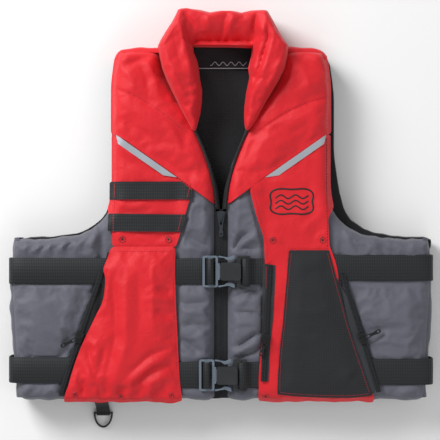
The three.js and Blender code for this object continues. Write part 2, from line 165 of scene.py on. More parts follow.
def outline_of(points, step):
    """A closed outline through a few points, anticlockwise from above, as evenly spaced points."""
    points = np.asarray(points, float)
    after = np.roll(points, -1, 0)
    if (points[:, 0] * after[:, 1] - points[:, 1] * after[:, 0]).sum() < 0:
        points = points[::-1]
    return spaced(points, step)


def plan_outline(node, step=4.0):
    """The outline of a CAD node's level top face, anticlockwise from above. Of the faces that look straight up at the
    node's top, the edges that only one has are chained end to end."""
    shape = bmesh.new()
    shape.from_mesh(frame["nodes"][node].data)
    bmesh.ops.remove_doubles(shape, verts=shape.verts, dist=1e-5)
    shape.normal_update()
    top = max(vert.co.z for vert in shape.verts)
    level = {f for f in shape.faces if f.normal.z > 0.99 and f.calc_center_median().z > top - 1e-4}
    beside = {}
    for edge in shape.edges:
        if sum(face in level for face in edge.link_faces) == 1:
            for vert in edge.verts:
                beside.setdefault(vert, []).append(edge.other_vert(vert))
    chain = [next(iter(beside))]
    chain.append(beside[chain[0]][0])
    while chain[-1] is not chain[0]:
        one, other = beside[chain[-1]]
        chain.append(other if one is chain[-2] else one)
    points = [vert.co.xy * 1000 for vert in chain[:-1]]
    shape.free()
    return outline_of(points, step)


def to_line(x, y, line, closed=False):
    """Distance from each point to the nearest stretch of a line of points."""
    ends = np.roll(line, -1, 0) if closed else line[1:]
    starts = line if closed else line[:-1]
    least = np.empty(len(x))
    run = ends - starts
    length = np.maximum((run**2).sum(-1), 1e-12)
    for part in np.array_split(np.arange(len(x)), len(x) // 2000 + 1):
        p = np.stack([x[part], y[part]], -1)[:, None, :] - starts
        t = np.clip((p * run).sum(-1) / length, 0, 1)
        least[part] = np.linalg.norm(p - t[..., None] * run, axis=-1).min(1)
    return least


def depth_in(x, y, loop):
    """Distance from each point to a closed outline, positive inside it. A point is inside where a level line to its
    left crosses the outline an odd number of times."""
    a, b = loop, np.roll(loop, -1, 0)
    rise = np.where(b[:, 1] == a[:, 1], 1e-9, b[:, 1] - a[:, 1])
    px, py = x[:, None], y[:, None]
    cross = ((a[:, 1] > py) != (b[:, 1] > py)) & (px < a[:, 0] + (py - a[:, 1]) * (b[:, 0] - a[:, 0]) / rise)
    return np.where(cross.sum(1) % 2 == 1, 1, -1) * to_line(x, y, loop, closed=True)


def ease(low, high, value):
    """0 below low, 1 above high, and a smooth S between them."""
    t = np.clip((value - low) / (high - low), 0, 1)
    return t * t * (3 - 2 * t)


def swell(value, low, high):
    """A smooth hump: 0 at low and high, 1 over the middle."""
    t = np.clip((value - low) / (high - low), 0, 1)
    return np.sin(math.pi * t) ** 0.7


def folded(x, y, folds):
    """The sum of some folds: each is a width, a height and a line. Across the line it is a sharp-topped bell, the
    exponential of minus the distance over the width to the power 1.4, and it fades over the last third to each end."""
    total = np.zeros(len(x))
    for width, height, *line in folds:
        line = np.reshape(np.array(line, float), (-1, 2))
        long = 0.35 * np.linalg.norm(np.diff(line, axis=0), axis=1).sum()
        start, end = (np.hypot(x - px, y - py) for px, py in (line[0], line[-1]))
        away = to_line(x, y, line) / width
        total += height * np.exp(-(away**1.4)) * ease(0, long, start) * ease(0, long, end)
    return total


def ripple(x, y, wavelength, seed):
    """Smooth unevenness between about -1 and 1: seven sine waves in spread directions, near one wavelength."""
    random = np.random.default_rng(seed)
    total = np.zeros(len(x))
    for angle, phase, stretch in zip(
        random.uniform(0, math.pi, 7), random.uniform(0, 2 * math.pi, 7), random.uniform(0.7, 1.5, 7)
    ):
        along = x * math.cos(angle) + y * math.sin(angle)
        total += np.sin(2 * math.pi * along / (wavelength * stretch) + phase)
    return total / 4


FRONT_LEVEL = extent("front_left_cover")[1][2]
FRONT_MIDDLE = FRONT_LEVEL - 13
PAD_ROLL = 17
SHARP = math.radians(50)
ZIP_LEAN = 0.341


def scalloped(loop):
    """An outline whose hem and outer top edge wander in and out a little, as a gathered edge does."""
    x, y = loop.T
    hem = 1.8 * ripple(x, 0 * x, 30, 7) * (1 - ease(-258, -244, y))
    top = 1.3 * ripple(x, 0 * x, 17, 8) * ease(-60, -30, y) * ease(178, 195, np.abs(x))
    return np.column_stack([x, y + hem + top])


front_outline = {side: scalloped(plan_outline(f"front_{side}_cover", 3.0)) for side in ("left", "right")}
CENTRE_CREASES = [
    (7, -5.1, -64, -22, -44, -27, -24, -38, -10, -50),
    (6, 3.0, -60, -44, -42, -41, -16, -46),
    (5, -4.1, -66, -119, -44, -122, -12, -120),
    (6, 3.0, -62, -136, -40, -133, -14, -137),
    (5, -4.3, -66, -156, -40, -152, -12, -158),
    (5, -6.6, -66, -168, -46, -183, -24, -200),
    (7, 3.0, -40, -163, -24, -172, -10, -186),
    (4, -3.0, -14, -160, -24, -172, -14, -186),
    (4, -2.7, -13, -124, -22, -132, -13, -144),
    (4.5, -7.3, 12, -50, 18, -42, 28, -26, 44, -12),
    (6, 3.6, 26, -44, 36, -30, 56, -22),
    (4, -4.1, 18, -48, 34, -42, 66, -40),
    (4, -4.7, 12, -118, 28, -108, 44, -103, 66, -101),
    (4, -4.3, 34, -117, 48, -108, 66, -101),
    (6, 3.2, 14, -126, 40, -116, 62, -117),
    (4, -3.6, 12, -134, 40, -135, 66, -141),
    (6, 2.4, 14, -152, 40, -150, 62, -150),
    (4.5, -7.3, 12, -190, 30, -180, 48, -168, 66, -160),
    (5, 4.1, 12, -200, 34, -188, 56, -176),
    (4, -6.2, 14, -207, 34, -198, 50, -192, 66, -180),
    (3.5, -3.2, 20, -86, 30, -98, 50, -99),
]
SIDE_CREASES = [
    (3.5, 2.6, -296, -50, -276, -36, -256, -29),
    (3, -2.6, -288, -48, -268, -34, -250, -27),
    (3.5, 3.1, -282, -52, -262, -37, -242, -28),
    (3, -3.1, -272, -52, -255, -37, -237, -28),
    (3.5, 3.1, -262, -52, -248, -38, -230, -28),
    (2.8, -2.9, -250, -52, -240, -38, -224, -27),
    (3.5, 3.4, -240, -54, -232, -40, -214, -25),
    (2.8, -2.9, -230, -52, -224, -38, -206, -24),
    (3.5, 2.9, -216, -54, -211, -40, -194, -22),
    (2.8, -2.3, -202, -50, -200, -38, -188, -19),
    (4, 2.6, -190, -52, -189, -36, -176, -14),
    (4, -2.1, -178, -52, -178, -34, -168, -10),
    (6, 2.0, -300, -198, -288, -180, -284, -160),
    (5, -2.0, -284, -198, -276, -186, -272, -168),
    (6, 1.8, -236, -198, -232, -176, -236, -150),
    (5, -2.3, -226, -196, -222, -176, -228, -150),
    (4, -2.9, -198, -108, -190, -106, -180, -103),
    (5, 2.1, -300, -258, -284, -248, -272, -242),
    (4, -2.9, -286, -262, -276, -250, -262, -243),
    (5, 2.1, -262, -262, -250, -250, -240, -243),
    (4, 2.6, -236, -260, -240, -250, -250, -243),
    (4, -2.3, 300, -52, 284, -42, 262, -34),
    (4, 2.3, 290, -54, 272, -46, 250, -36),
    (4, -2.0, 262, -52, 244, -44, 226, -32),
    (4, 2.0, 240, -52, 220, -40, 204, -24),
    (4, -1.7, 212, -50, 196, -36, 186, -18),
    (6, -2.6, 214, -164, 240, -158, 270, -164),
    (6, 2.0, 210, -182, 240, -176, 280, -184),
    (5, -2.1, 300, -198, 288, -182, 284, -164),
    (6, 1.7, 232, -102, 244, -120, 246, -146),
    (4, -2.3, 240, -262, 250, -252, 264, -244),
    (5, 2.1, 256, -262, 268, -252, 284, -244),
    (4, -2.3, 276, -262, 286, -252, 300, -246),
]


def front_depth(x, y):
    """Distance from each point to the edge of the front pad on its side, positive inside it."""
    return np.where(x < 0, depth_in(x, y, front_outline["left"]), depth_in(x, y, front_outline["right"]))


def beside_pockets(x, y):
    """How far out each point lies from the slanted line that the outer pocket zippers follow."""
    return np.abs(x) - (174 + np.clip(-77 - y, 0, 180) * ZIP_LEAN)


def level_at(z):
    """A level surface, as a height function."""
    return lambda x, y: np.full(len(x), z)


def front_top(x, y):
    """Height of the front pads' upper face. It is level over the foam and rolls down round the edge. It swells between
    the belts, beside the zipper and on the sides, is grooved where the side foam hinges, and takes the creases."""
    depth = front_depth(x, y)
    out = np.abs(x)
    t = np.clip(depth / PAD_ROLL, -1, 1)
    level = np.where(t > 0, np.sqrt(1 - (1 - np.clip(t, 0, 1)) ** 2), 1.6 * t)
    height = FRONT_MIDDLE + (FRONT_LEVEL - 0.4 - FRONT_MIDDLE) * level
    centre = ease(9, 26, out) * (1 - ease(50, 68, out))
    height += centre * (6 * swell(y, -205, -95) + 4.5 * swell(y, -53, 70) + 3 * swell(y, -270, -246))
    side = ease(7, 34, beside_pockets(x, y)) * (1 - ease(270, 303, out))
    height += side * (7 * swell(y, -199, -94) + 3 * swell(y, -268, -240)) + ease(160, 190, out) * (
        4 * swell(y, -54, -4)
    )
    height -= 3 * np.exp(-(((out - 176) / 5) ** 2)) * (1 - ease(-40, -10, y))
    free = ease(2, 12, depth)
    height += free * (folded(x, y, CENTRE_CREASES) + folded(x, y, SIDE_CREASES))
    return height + free * (0.5 * ripple(x, y, 46, 3) + 0.25 * ripple(x, y, 19, 4))


def outward_of(loop, reach=1):
    """The way out of an anticlockwise outline at each point, square to the line between its neighbours, which are
    reach points before and after it."""
    run = np.roll(loop, -reach, 0) - np.roll(loop, reach, 0)
    return np.stack([run[:, 1], -run[:, 0]], -1) / np.linalg.norm(run, axis=1)[:, None]


def plan_mesh(loop, step, rings=()):
    """Points over an outline and the triangles between them: the outline, copies of it set inwards, then staggered
    rows of points."""
    layers = [loop]
    for ring in rings:
        moved = loop - outward_of(loop) * ring
        layers.append(moved[np.abs(depth_in(*moved.T, loop) - ring) < 0.1 * ring])
    low, high = loop.min(0), loop.max(0)
    rows = np.arange(low[1], high[1], step * 0.866)
    columns = np.arange(low[0] - step, high[0] + step, step)
    x, y = np.meshgrid(columns, rows)
    x = x + (np.arange(len(rows)) % 2)[:, None] * step / 2
    x, y = x.ravel(), y.ravel()
    kept = depth_in(x, y, loop) > (rings[-1] if rings else 0) + step * 0.55
    layers.append(np.stack([x[kept], y[kept]], -1))
    points = np.vstack(layers)
    made = delaunay_2d_cdt([Vector(p) for p in points], [], [list(range(len(loop)))], 1, 1e-6)
    return np.array([v[:] for v in made[0]]), np.array(made[2])


def placed(mesh, material, body, stands_for):
    """Makes a mesh into a piece at the origin, smooth but for its sharp edges. It rides on a body, if one is given,
    wears a material, and replaces some CAD nodes."""
    mesh.polygons.foreach_set("use_smooth", np.ones(len(mesh.polygons), bool))
    mesh.set_sharp_from_angle(angle=SHARP)
    mesh.materials.clear()
    mesh.materials.append(material)
    piece = bpy.data.objects.new(mesh.name, mesh)
    bpy.context.scene.collection.objects.link(piece)
    if body:
        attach(piece, body)
    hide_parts(*stands_for)
    return piece


def show(name, points, faces, material, slot, body="vest", stands_for=()):
    """Puts points in millimetres, and their faces, into a piece."""
    mesh = bpy.data.meshes.new(name)
    mesh.from_pydata(points * 0.001, [], faces)
    return placed(mesh, material, body, stands_for)


def soft_body(name, loop, top, bottom, material, slot, stands_for=(), step=5.0, rings=(), levels=1, bulge=0.0):
    """A closed soft piece over an outline: an upper face at height top(x, y), a lower one at bottom(x, y), and a wall
    round the edge between them that bows out by bulge."""
    flat, triangles = plan_mesh(loop, step, rings)
    count, rim = len(flat), len(loop)
    x, y = flat.T
    upper = np.column_stack([x, y, top(x, y)])
    lower = np.column_stack([x, y, bottom(x, y)])
    upper_points[name] = count
    wall = []
    for level in range(1, levels):
        t = level / levels
        ring = upper[:rim] * (1 - t) + lower[:rim] * t
        ring[:, :2] += outward_of(loop) * bulge * math.sin(math.pi * t)
        wall.append(ring)
    points = np.vstack([upper, lower, *wall])
    start = [0, *[2 * count + rim * k for k in range(levels - 1)], count]
    here = np.arange(rim)
    after = np.roll(here, -1)
    faces = [*triangles.tolist(), *(triangles[:, ::-1] + count).tolist()]
    for above, below in zip(start[:-1], start[1:]):
        faces += np.column_stack([above + here, below + here, below + after, above + after]).tolist()
    return show(name, points, faces, material, slot, stands_for=stands_for)


def settled(piece, loosened, slack, pressure, most, steps=16):
    """Lets the cloth of a piece settle, and keeps the result: a cloth simulation without gravity, in which only the
    upper face moves, and only where loosened(x, y) is true. The cloth is cut larger than its frame by slack, and it
    is inflated by a pressure. No point moves further than most, in millimetres. Where loosened is partly true, a
    point keeps that part of its move."""
    mesh = piece.data
    start = np.empty(3 * len(mesh.vertices))
    mesh.vertices.foreach_get("co", start)
    start = start.reshape(-1, 3)
    upper = upper_points[piece.name]
    share = np.zeros(len(start))
    share[:upper] = loosened(*start[:upper, :2].T * 1000)
    held = piece.vertex_groups.new(name="held")
    held.add(np.flatnonzero(share < 0.02).tolist(), 1.0, "REPLACE")
    cloth = piece.modifiers.new("settling", "CLOTH")
    cloth.point_cache.frame_start = 1
    cloth.point_cache.frame_end = steps
    nylon = cloth.settings
    nylon.quality = 5
    nylon.mass = 0.1
    nylon.tension_stiffness = nylon.compression_stiffness = 10
    nylon.shear_stiffness = 5
    nylon.bending_stiffness = 0.4
    nylon.shrink_min = -slack
    nylon.use_pressure = True
    nylon.uniform_pressure_force = pressure
    nylon.vertex_group_mass = "held"
    nylon.effector_weights.gravity = 0
    for step in range(1, steps + 1):
        bpy.context.scene.frame_set(step)
    seen = piece.evaluated_get(bpy.context.evaluated_depsgraph_get())
    end = np.empty(3 * len(seen.data.vertices))
    seen.data.vertices.foreach_get("co", end)
    shift = end.reshape(-1, 3) - start
    far = np.linalg.norm(shift, axis=1)
    keep = np.minimum(1, most * 0.001 / np.maximum(far, 1e-9)) * np.minimum(share, 1)
    piece.modifiers.remove(cloth)
    piece.vertex_groups.remove(held)
    mesh.vertices.foreach_set("co", (start + shift * keep[:, None]).ravel())
    mesh.update()
    bpy.context.scene.frame_set(1)


def cloth_top(piece):
    """The height of a settled piece's upper face at any plan point: the mean of its four nearest upper vertices,
    weighted by one over their squared distance."""
    points = np.empty(3 * len(piece.data.vertices))
    piece.data.vertices.foreach_get("co", points)
    points = points.reshape(-1, 3)[: upper_points[piece.name]] * 1000

    def height(x, y):
        away = (x[:, None] - points[:, 0]) ** 2 + (y[:, None] - points[:, 1]) ** 2
        near = np.argpartition(away, 4, axis=1)[:, :4]
        weight = 1 / (np.take_along_axis(away, near, 1) + 0.01)
        return (points[near, 2] * weight).sum(1) / weight.sum(1)

    return height


def bare(x, y):
    """1 where no panel or yoke covers the grey shell, fading to 0 beside them. The middle strip narrows upwards."""
    out = np.abs(x)
    limit = np.interp(y, [-40, 50], [62, 38])
    centre = ease(10, 16, out) * (1 - ease(limit - 6, limit, out)) * (1 - ease(20, 50, y))
    return np.maximum(centre, ease(2, 10, beside_pockets(x, y)))


BELT_PLACES = [sum(corner[1] for corner in extent(f"{level}_buckle_strap")) / 2 for level in ("upper", "lower")]


def loose_grey(x, y):
    """1 where the grey shell is free to move: where it is bare, off the belts, and away from its edge."""
    off_belts = [ease(19, 26, np.abs(y - place)) for place in BELT_PLACES]
    return bare(x, y) * off_belts[0] * off_belts[1] * ease(1, 6, front_depth(x, y))


def pad_top(x, y):
    """The front pads' upper face, 2.5 mm lower where a panel or a yoke covers it."""
    return front_top(x, y) - 2.5 * (1 - bare(x, y))


upper_points = {}
for side in ("left", "right"):
    pad = soft_body(
        f"front_pad_{side}",
        front_outline[side],
        pad_top,
        level_at(FRONT_MIDDLE - 11.2),
        grey_nylon,
        "grey_nylon",
        [f"front_{side}_cover", f"front_{side}_chest_foam", f"front_{side}_side_foam"],
        step=3.2,
        rings=(0.8, 2.2, 4.5, 8),
        levels=4,
        bulge=2.0,
    )
    settled(pad, loose_grey, slack=0.03, pressure=3.0, most=5.0)

# ---- Linings ------------------------------------------------------------------------------------------------------
# A black knitted mesh faces the wearer, on the back pad and under both front pads. It shows inside the neck.
# Warp-knitted polyester with holes about 2.4 mm apart: very dark, matt, and dimpled.


def knitted(name, colour, hole):
    """Knitted mesh: dimples in a close grid, sunk into a matt ground, darkened towards their middles with painted
    shade.
    """

    def build(tree, place):
        cells = texture(tree, "Voronoi", place, 1000 / hole, Randomness=0.15)
        dimple = add(tree, "ShaderNodeMapRange", {0: cells.outputs["Distance"], 1: 0.15, 2: 0.5}).outputs[0]
        # Painted shade: each dimple's middle is darkened to 0c0c0e, as its hollow would be shaded.
        return mixed(tree, dimple, linear("0c0c0e"), linear(colour)), bumped(tree, dimple, 0.6, 0.0006)

    return surfaced(name, build, 0.9)


black_mesh = knitted("black_knitted_mesh", "26272a", 2.4)
for node, pad, swollen in (
    ("back_lining", "back_pad", 1.2),
    ("front_left_lining", "front_pad_left", 0.0),
    ("front_right_lining", "front_pad_right", 0.0),
):
    low, high = (corner[2] for corner in extent(node))
    loop = plan_outline(node, 6.0)
    lining = soft_body(
        node.replace("lining", "mesh"),
        loop,
        lambda x, y: high + swollen * ripple(x, y, 90, 11),
        level_at(low - swollen),
        black_mesh,
        "black_mesh",
        [node],
        step=9.0,
    )

# ---- Back pad -----------------------------------------------------------------------------------------------------
# One black nylon shell over a single foam slab, a little wider than the front at the armholes. It lies flat on its
# outer face, and its edge is rolled where the shell and the lining are sewn together.
black_nylon = woven("black_oxford_nylon", "222326", "1a1b1e", 1.6, 0.65, 0.08)
BACK_ROLL = 12
back_outline = plan_outline("back_lining")
x, y = back_outline.T
back_shift = 5 * ease(-70, -20, y) + 9 * (ease(-60, -20, y) * (1 - ease(20, 110, y)) * (x > 120))
back_outline = back_outline + np.column_stack([back_shift, 0.8 * ripple(x, y, 22, 9)])
back_high = extent("back_cover")[1][2]


def back_lower(x, y):
    """The back's outer face: flat on the floor, and rolled up round the edge."""
    t = np.clip(depth_in(x, y, back_outline) / BACK_ROLL, 0, 1)
    return 8 * (1 - np.sqrt(1 - (1 - t) ** 2))


back = soft_body(
    "back_pad",
    back_outline,
    level_at(back_high - 1.0),
    back_lower,
    black_nylon,
    "black_nylon",
    ["back_cover", "back_foam"],
    step=7.0,
    rings=(1, 3, 7),
    levels=4,
    bulge=1.5,
)

# ---- Neck facing --------------------------------------------------------------------------------------------------
# A black nylon panel under the back of the neck, over the mesh, finished along its lower edge with a pale piping
# cord. A short row of wave stitches stands where a size label would.
pale_cord = woven("pale_piping", "b9bcc0", "9ea2a8", 0.8, 0.6, 0.1)
low, high = extent("neck_facing")
facing_level = high[2] + 1.5


def tube(rings):
    """The points and faces of a closed tube through rings of points, with flat ends."""
    steps, sides = rings.shape[:2]
    index = np.arange(steps * sides).reshape(steps, sides)
    after = np.roll(index, -1, 1)
    quads = np.stack([index[:-1], index[1:], after[1:], after[:-1]], -1).reshape(-1, 4)
    return rings.reshape(-1, 3), [*quads.tolist(), index[0].tolist(), index[-1, ::-1].tolist()]


def carried(path, section, across=None):
    """A section carried along a path, as a closed surface with flat ends. The section's first axis lies across the
    path, level unless an across direction is given, and its second axis stands off it."""
    run = np.gradient(path, axis=0)
    run /= np.linalg.norm(run, axis=1)[:, None]
    if across is None:
        side = np.cross(run, [0, 0, 1.0])
    else:
        side = np.broadcast_to(np.asarray(across, float), path.shape)
    side = side / np.linalg.norm(side, axis=1)[:, None]
    up = np.cross(side, run)
    return tube(path[:, None] + section[None, :, :1] * side[:, None] + section[None, :, 1:] * up[:, None])


def round_section(radius, sides=8):
    """A circle, anticlockwise."""
    turn = np.arange(sides) * 2 * math.pi / sides
    return radius * np.stack([np.cos(turn), np.sin(turn)], -1)


def curve(points, step=3.0):
    """A smooth line through a few points: a Catmull-Rom curve, evenly spaced."""
    points = np.asarray(points, float)
    padded = np.vstack([2 * points[0] - points[1], points, 2 * points[-1] - points[-2]])
    t = np.linspace(0, 1, 12, endpoint=False)[:, None]
    spans = [
        0.5 * (2 * b + (c - a) * t + (2 * a - 5 * b + 4 * c - d) * t**2 + (3 * b - a - 3 * c + d) * t**3)
        for a, b, c, d in zip(padded[:-3], padded[1:-2], padded[2:-1], padded[3:])
    ]
    return walk(np.vstack([*spans, points[-1:]]), step, 3)


facing_loop = plan_outline("neck_facing")
facing_loop[:, 1] += 9 * ease(235, 247, facing_loop[:, 1])
facing = soft_body(
    "neck_facing_panel",
    facing_loop,
    lambda x, y: facing_level + 0.6 * ripple(x, y, 40, 5),
    level_at(facing_level - 2.2),
    black_nylon,
    "black_nylon",
    ["neck_facing"],
)
edge = curve([(x, low[1] + 0.6, facing_level + 0.6) for x in np.linspace(low[0], high[0], 6)])
show("neck_piping", *carried(edge, round_section(0.7)), pale_cord, "reflective")

waves = np.linspace(-16, 38, 91)
line = np.column_stack([waves, 231.5 + 2.6 * np.sin(waves / 1.9), np.full(len(waves), facing_level + 0.9)])
show("neck_waves", *carried(line, round_section(0.55, 6)), pale_cord, "reflective")

# ---- Side folds and shoulders -------------------------------------------------------------------------------------
# The grey shell runs round each side from the front to the back, and the red yoke runs over each shoulder. Both are
# plain nylon, stretched round the edges of the two pads.
red_nylon = woven("red_oxford_nylon", "e0202c", "cc1521", 1.6, 0.55, 0.1)
WRAP_THICK = 1.5


def wrapped(name, line, outward, reach, material, slot, stands_for):
    """Cloth that wraps from the front pads' edge to the back pad's: a half ring of points at each place on a plan
    line, bowed outwards by reach."""
    turn = np.linspace(0, math.pi, 13)
    high, low = FRONT_MIDDLE + 4, 7
    z = (high + low) / 2 + (high - low) / 2 * np.cos(turn)
    uneven = 1 + 0.16 * ripple(line[:, 0], line[:, 1], 34, 17)
    skins = []
    for skin in (0.0, -WRAP_THICK):
        bow = reach * uneven[:, None] * np.sin(turn) ** 0.6 + skin
        plan = line[:, None] + bow[..., None] * outward[:, None]
        skins.append(np.dstack([plan, np.broadcast_to(z, bow.shape)]))
    points, faces = tube(np.concatenate([skins[0], skins[1][:, ::-1]], 1))
    piece = show(name, points, faces, material, slot, stands_for=stands_for)
    shape = bmesh.new()
    shape.from_mesh(piece.data)
    bmesh.ops.recalc_face_normals(shape, faces=shape.faces)
    shape.to_mesh(piece.data)
    shape.free()


for side, sign in (("left", -1), ("right", 1)):
    line = curve([(sign * x, y) for x, y in ((297, -26), (301, -90), (302, -140), (297, -200), (293, -260))], 5.0)
    outward = np.tile([float(sign), 0.0], (len(line), 1))
    wrapped(f"side_wrap_{side}", line, outward, 9, grey_nylon, "grey_nylon", [f"side_fold_{side}"])
    line = curve([(sign * x, y) for x, y in ((88, 246.5), (120, 246.5), (142, 243), (151, 234))], 4.0)
    outward = np.stack([sign * ease(0.3, 1.2, np.linspace(0, 1, len(line))), np.ones(len(line))], -1)
    outward /= np.linalg.norm(outward, axis=1)[:, None]
    wrapped(f"shoulder_wrap_{side}", line, outward, 9, red_nylon, "red_nylon", [f"shoulder_{side}"])

# ---- Red panels and yokes -----------------------------------------------------------------------------------------
# Red nylon sewn over the grey shell: a chest panel on each side, and over both a yoke that runs up to the shoulder,
# lightly padded, with a seam across it.


def over_edge(loop, reach=5.0, neck_reach=0.0):
    """An outline with the points that lie near a front pad's armhole, shoulder or hem carried past its edge, so that
    the cloth wraps round it. Beside the neck, under the collar, they are carried by neck_reach."""
    moved = loop.copy()
    pad = front_outline["left" if loop[:, 0].mean() < 0 else "right"]
    outward = outward_of(pad, 2)
    for k, point in enumerate(loop):
        nearest = np.linalg.norm(pad - point, axis=1).argmin()
        if depth_in(point[:1], point[1:], pad)[0] > 7:
            continue
        if abs(pad[nearest, 0]) > 100 or pad[nearest, 1] < -200 or pad[nearest, 1] > 243:
            moved[k] = pad[nearest] + outward[nearest] * reach
        elif neck_reach and pad[nearest, 1] > 138:
            moved[k] = pad[nearest] + outward[nearest] * neck_reach
    for _ in range(2):
        moved = (np.roll(moved, 1, 0) + 2 * moved + np.roll(moved, -1, 0)) / 4
    return spaced(moved, 4.0)


def laid(
    name, loop, lift, thick, material, slot, step=5.0, extra=None, stands_for=(), under=1.0, rings=(1.2,),
    ground=front_top,
):
    """Cloth laid over the front pads, or over another ground: it follows the ground's height, raised by lift, by its
    thickness and by any extra of its own, and it reaches under below the lift. Returns the piece and the height
    function of its upper face."""

    def upper(x, y):
        raised = 0 if extra is None else extra(x, y, depth_in(x, y, loop))
        return ground(x, y) + lift + thick + raised

    sheet = soft_body(
        name, loop, upper, lambda x, y: ground(x, y) + lift - under, material, slot, stands_for, step=step,
        rings=rings,
    )
    return sheet, upper


CHEST_FOLDS = [
    (5, 1.8, -158, 128, -140, 100, -116, 88),
    (4, -1.6, -156, 112, -136, 84, -110, 74),
    (4, 1.6, -158, 24, -130, 18, -100, 26),
    (4, -1.6, -154, 14, -126, 12, -90, 18),
    (5, 1.7, -158, -18, -140, -24, -128, -38),
    (4, -1.7, -152, -18, -132, -24, -112, -38),
    (4, 1.7, -128, -20, -108, -28, -96, -40),
    (4, -1.4, -80, -20, -92, -28, -104, -40),
    (4, 1.6, -64, -22, -76, -32, -88, -40),
    (5, 2.0, 60, 60, 84, 54, 116, 60),
    (5, -1.8, 48, 44, 70, 30, 84, 8),
    (6, 1.8, 60, 20, 80, 0, 96, -26),
    (5, -1.8, 120, 60, 138, 30, 152, 22),
    (5, 1.8, 156, 10, 130, -4, 112, -28),
    (4, -1.7, 156, -8, 140, -16, 126, -36),
    (4, 1.6, 70, -16, 84, -28, 88, -40),
]


def chest_unevenness(x, y, depth):
    """Slack in the cloth away from its stitched edges: a ripple in two sizes, and folds."""
    slack = 0.8 * ripple(x, y, 60, 21) + 0.35 * ripple(x, y, 24, 22) + folded(x, y, CHEST_FOLDS)
    return ease(1, 10, depth) * slack


chest_top = {}
for side, lift in (("left", 0.6), ("right", 2.6)):
    loop = plan_outline(f"chest_panel_{side}")
    # The right panel's edge stands a little clear of the pocket, beside the upper belt.
    loop[:, 0] += 5 * swell(loop[:, 1], -98, -40) * (loop[:, 0] > 150)
    loop = over_edge(scalloped(loop))
    panel, chest_top[side] = laid(
        f"chest_panel_cloth_{side}", loop, lift, 1.2, red_nylon, "red_nylon", step=4.0, extra=chest_unevenness,
        stands_for=[f"chest_panel_{side}"],
    )

YOKE_FOLDS = [
    (6, 3.2, -148, 232, -126, 246, -96, 254),
    (6, -3.2, -146, 222, -122, 232, -94, 240),
    (7, 2.8, -140, 226, -128, 200, -126, 178),
    (6, -3.0, -124, 240, -108, 208, -104, 180),
    (6, 2.2, -108, 236, -96, 206, -90, 184),
    (9, 2.0, -154, 176, -110, 150, -84, 116),
    (8, -2.0, -150, 156, -110, 126, -80, 96),
    (8, 2.0, -90, 150, -70, 128, -50, 88),
    (7, -2.0, -78, 150, -56, 120, -34, 76),
    (6, 2.0, -60, 126, -42, 90, -22, 50),
    (5, -1.8, -104, 100, -80, 82, -56, 64),
    (6, 2.8, 98, 250, 124, 246, 154, 232),
    (6, -3.0, 96, 238, 124, 230, 156, 214),
    (6, 2.2, 110, 232, 124, 206, 130, 182),
    (8, -2.5, 158, 190, 130, 176, 108, 178),
    (8, 2.2, 150, 160, 118, 152, 86, 128),
    (8, -2.0, 146, 142, 116, 136, 88, 112),
    (7, 2.0, 76, 158, 66, 124, 44, 84),
    (6, -2.2, 62, 150, 50, 118, 30, 76),
    (6, 2.0, 96, 104, 76, 88, 52, 70),
]
YOKE_SEAMS = {
    "left": curve([(-158, 194), (-120, 176), (-86, 154), (-48, 122)], 4.0),
    "right": curve([(163, 180), (122, 168), (86, 150), (42, 120)], 4.0),
}


def yoke_padding(x, y, depth):
    """The yoke's own padding: low along its edges, full between them, folded, and grooved along its seam."""
    full = 4.5 * ease(0, 30, depth)
    groove = sum(np.exp(-((to_line(x, y, seam) / 2.2) ** 2)) for seam in YOKE_SEAMS.values())
    slack = folded(x, y, YOKE_FOLDS) + 0.7 * ripple(x, y, 60, 31) + 0.2 * ripple(x, y, 22, 32)
    return full + ease(1, 12, depth) * slack - 1.0 * groove


yoke_top = {}
for side in ("left", "right"):
    loop = over_edge(plan_outline(f"yoke_{side}"), 6.0, 9.0)
    yoke, _ = laid(
        f"yoke_cloth_{side}", loop, 2.2, 1.4, red_nylon, "red_nylon", step=3.6, extra=yoke_padding,
        stands_for=[f"yoke_{side}"], rings=(0.8, 2.0),
    )
    settled(yoke, lambda x, y: ease(1, 10, depth_in(x, y, loop)), slack=0.01, pressure=1.5, most=3.0)
    yoke_top[side] = cloth_top(yoke)

# ---- Stitching ----------------------------------------------------------------------------------------------------
# Lock stitch in polyester thread: red everywhere but down the right panel's outer edge, where it is black. A stitch
# is 3 mm long, with 0.2 to 1.2 mm to the next; the thread is drawn 0.9 mm thick, a little coarse, so that it shows.
STITCH_LENGTH, STITCH_WIDTH, STITCH_HEIGHT = 3.0, 0.9, 0.6


def plain(name, colour, rough, metallic=0.0, grain=0.15, size=1.5, coat=0.0):
    """A moulded, cast or coated finish: one colour with a slow drift, and a fine grain of a size in millimetres."""

    def build(tree, place):
        speck = texture(tree, "Noise", place, 1000 / size, Detail=2.0)
        drift = texture(tree, "Noise", place, 40.0)
        tone = mixed(tree, drift.outputs["Fac"], darker(colour, 0.86), linear(colour))
        return tone, bumped(tree, speck.outputs["Fac"], grain, 0.0002)

    return surfaced(name, build, rough, Metallic=metallic, Coat_Weight=coat)


red_thread = plain("red_thread", "d02531", 0.6)
dark_thread_and_hole_shade = plain("dark_thread_and_hole_shade", "16171a", 0.6)
deep_red_thread = plain("deep_red_thread", "ac1822", 0.6)


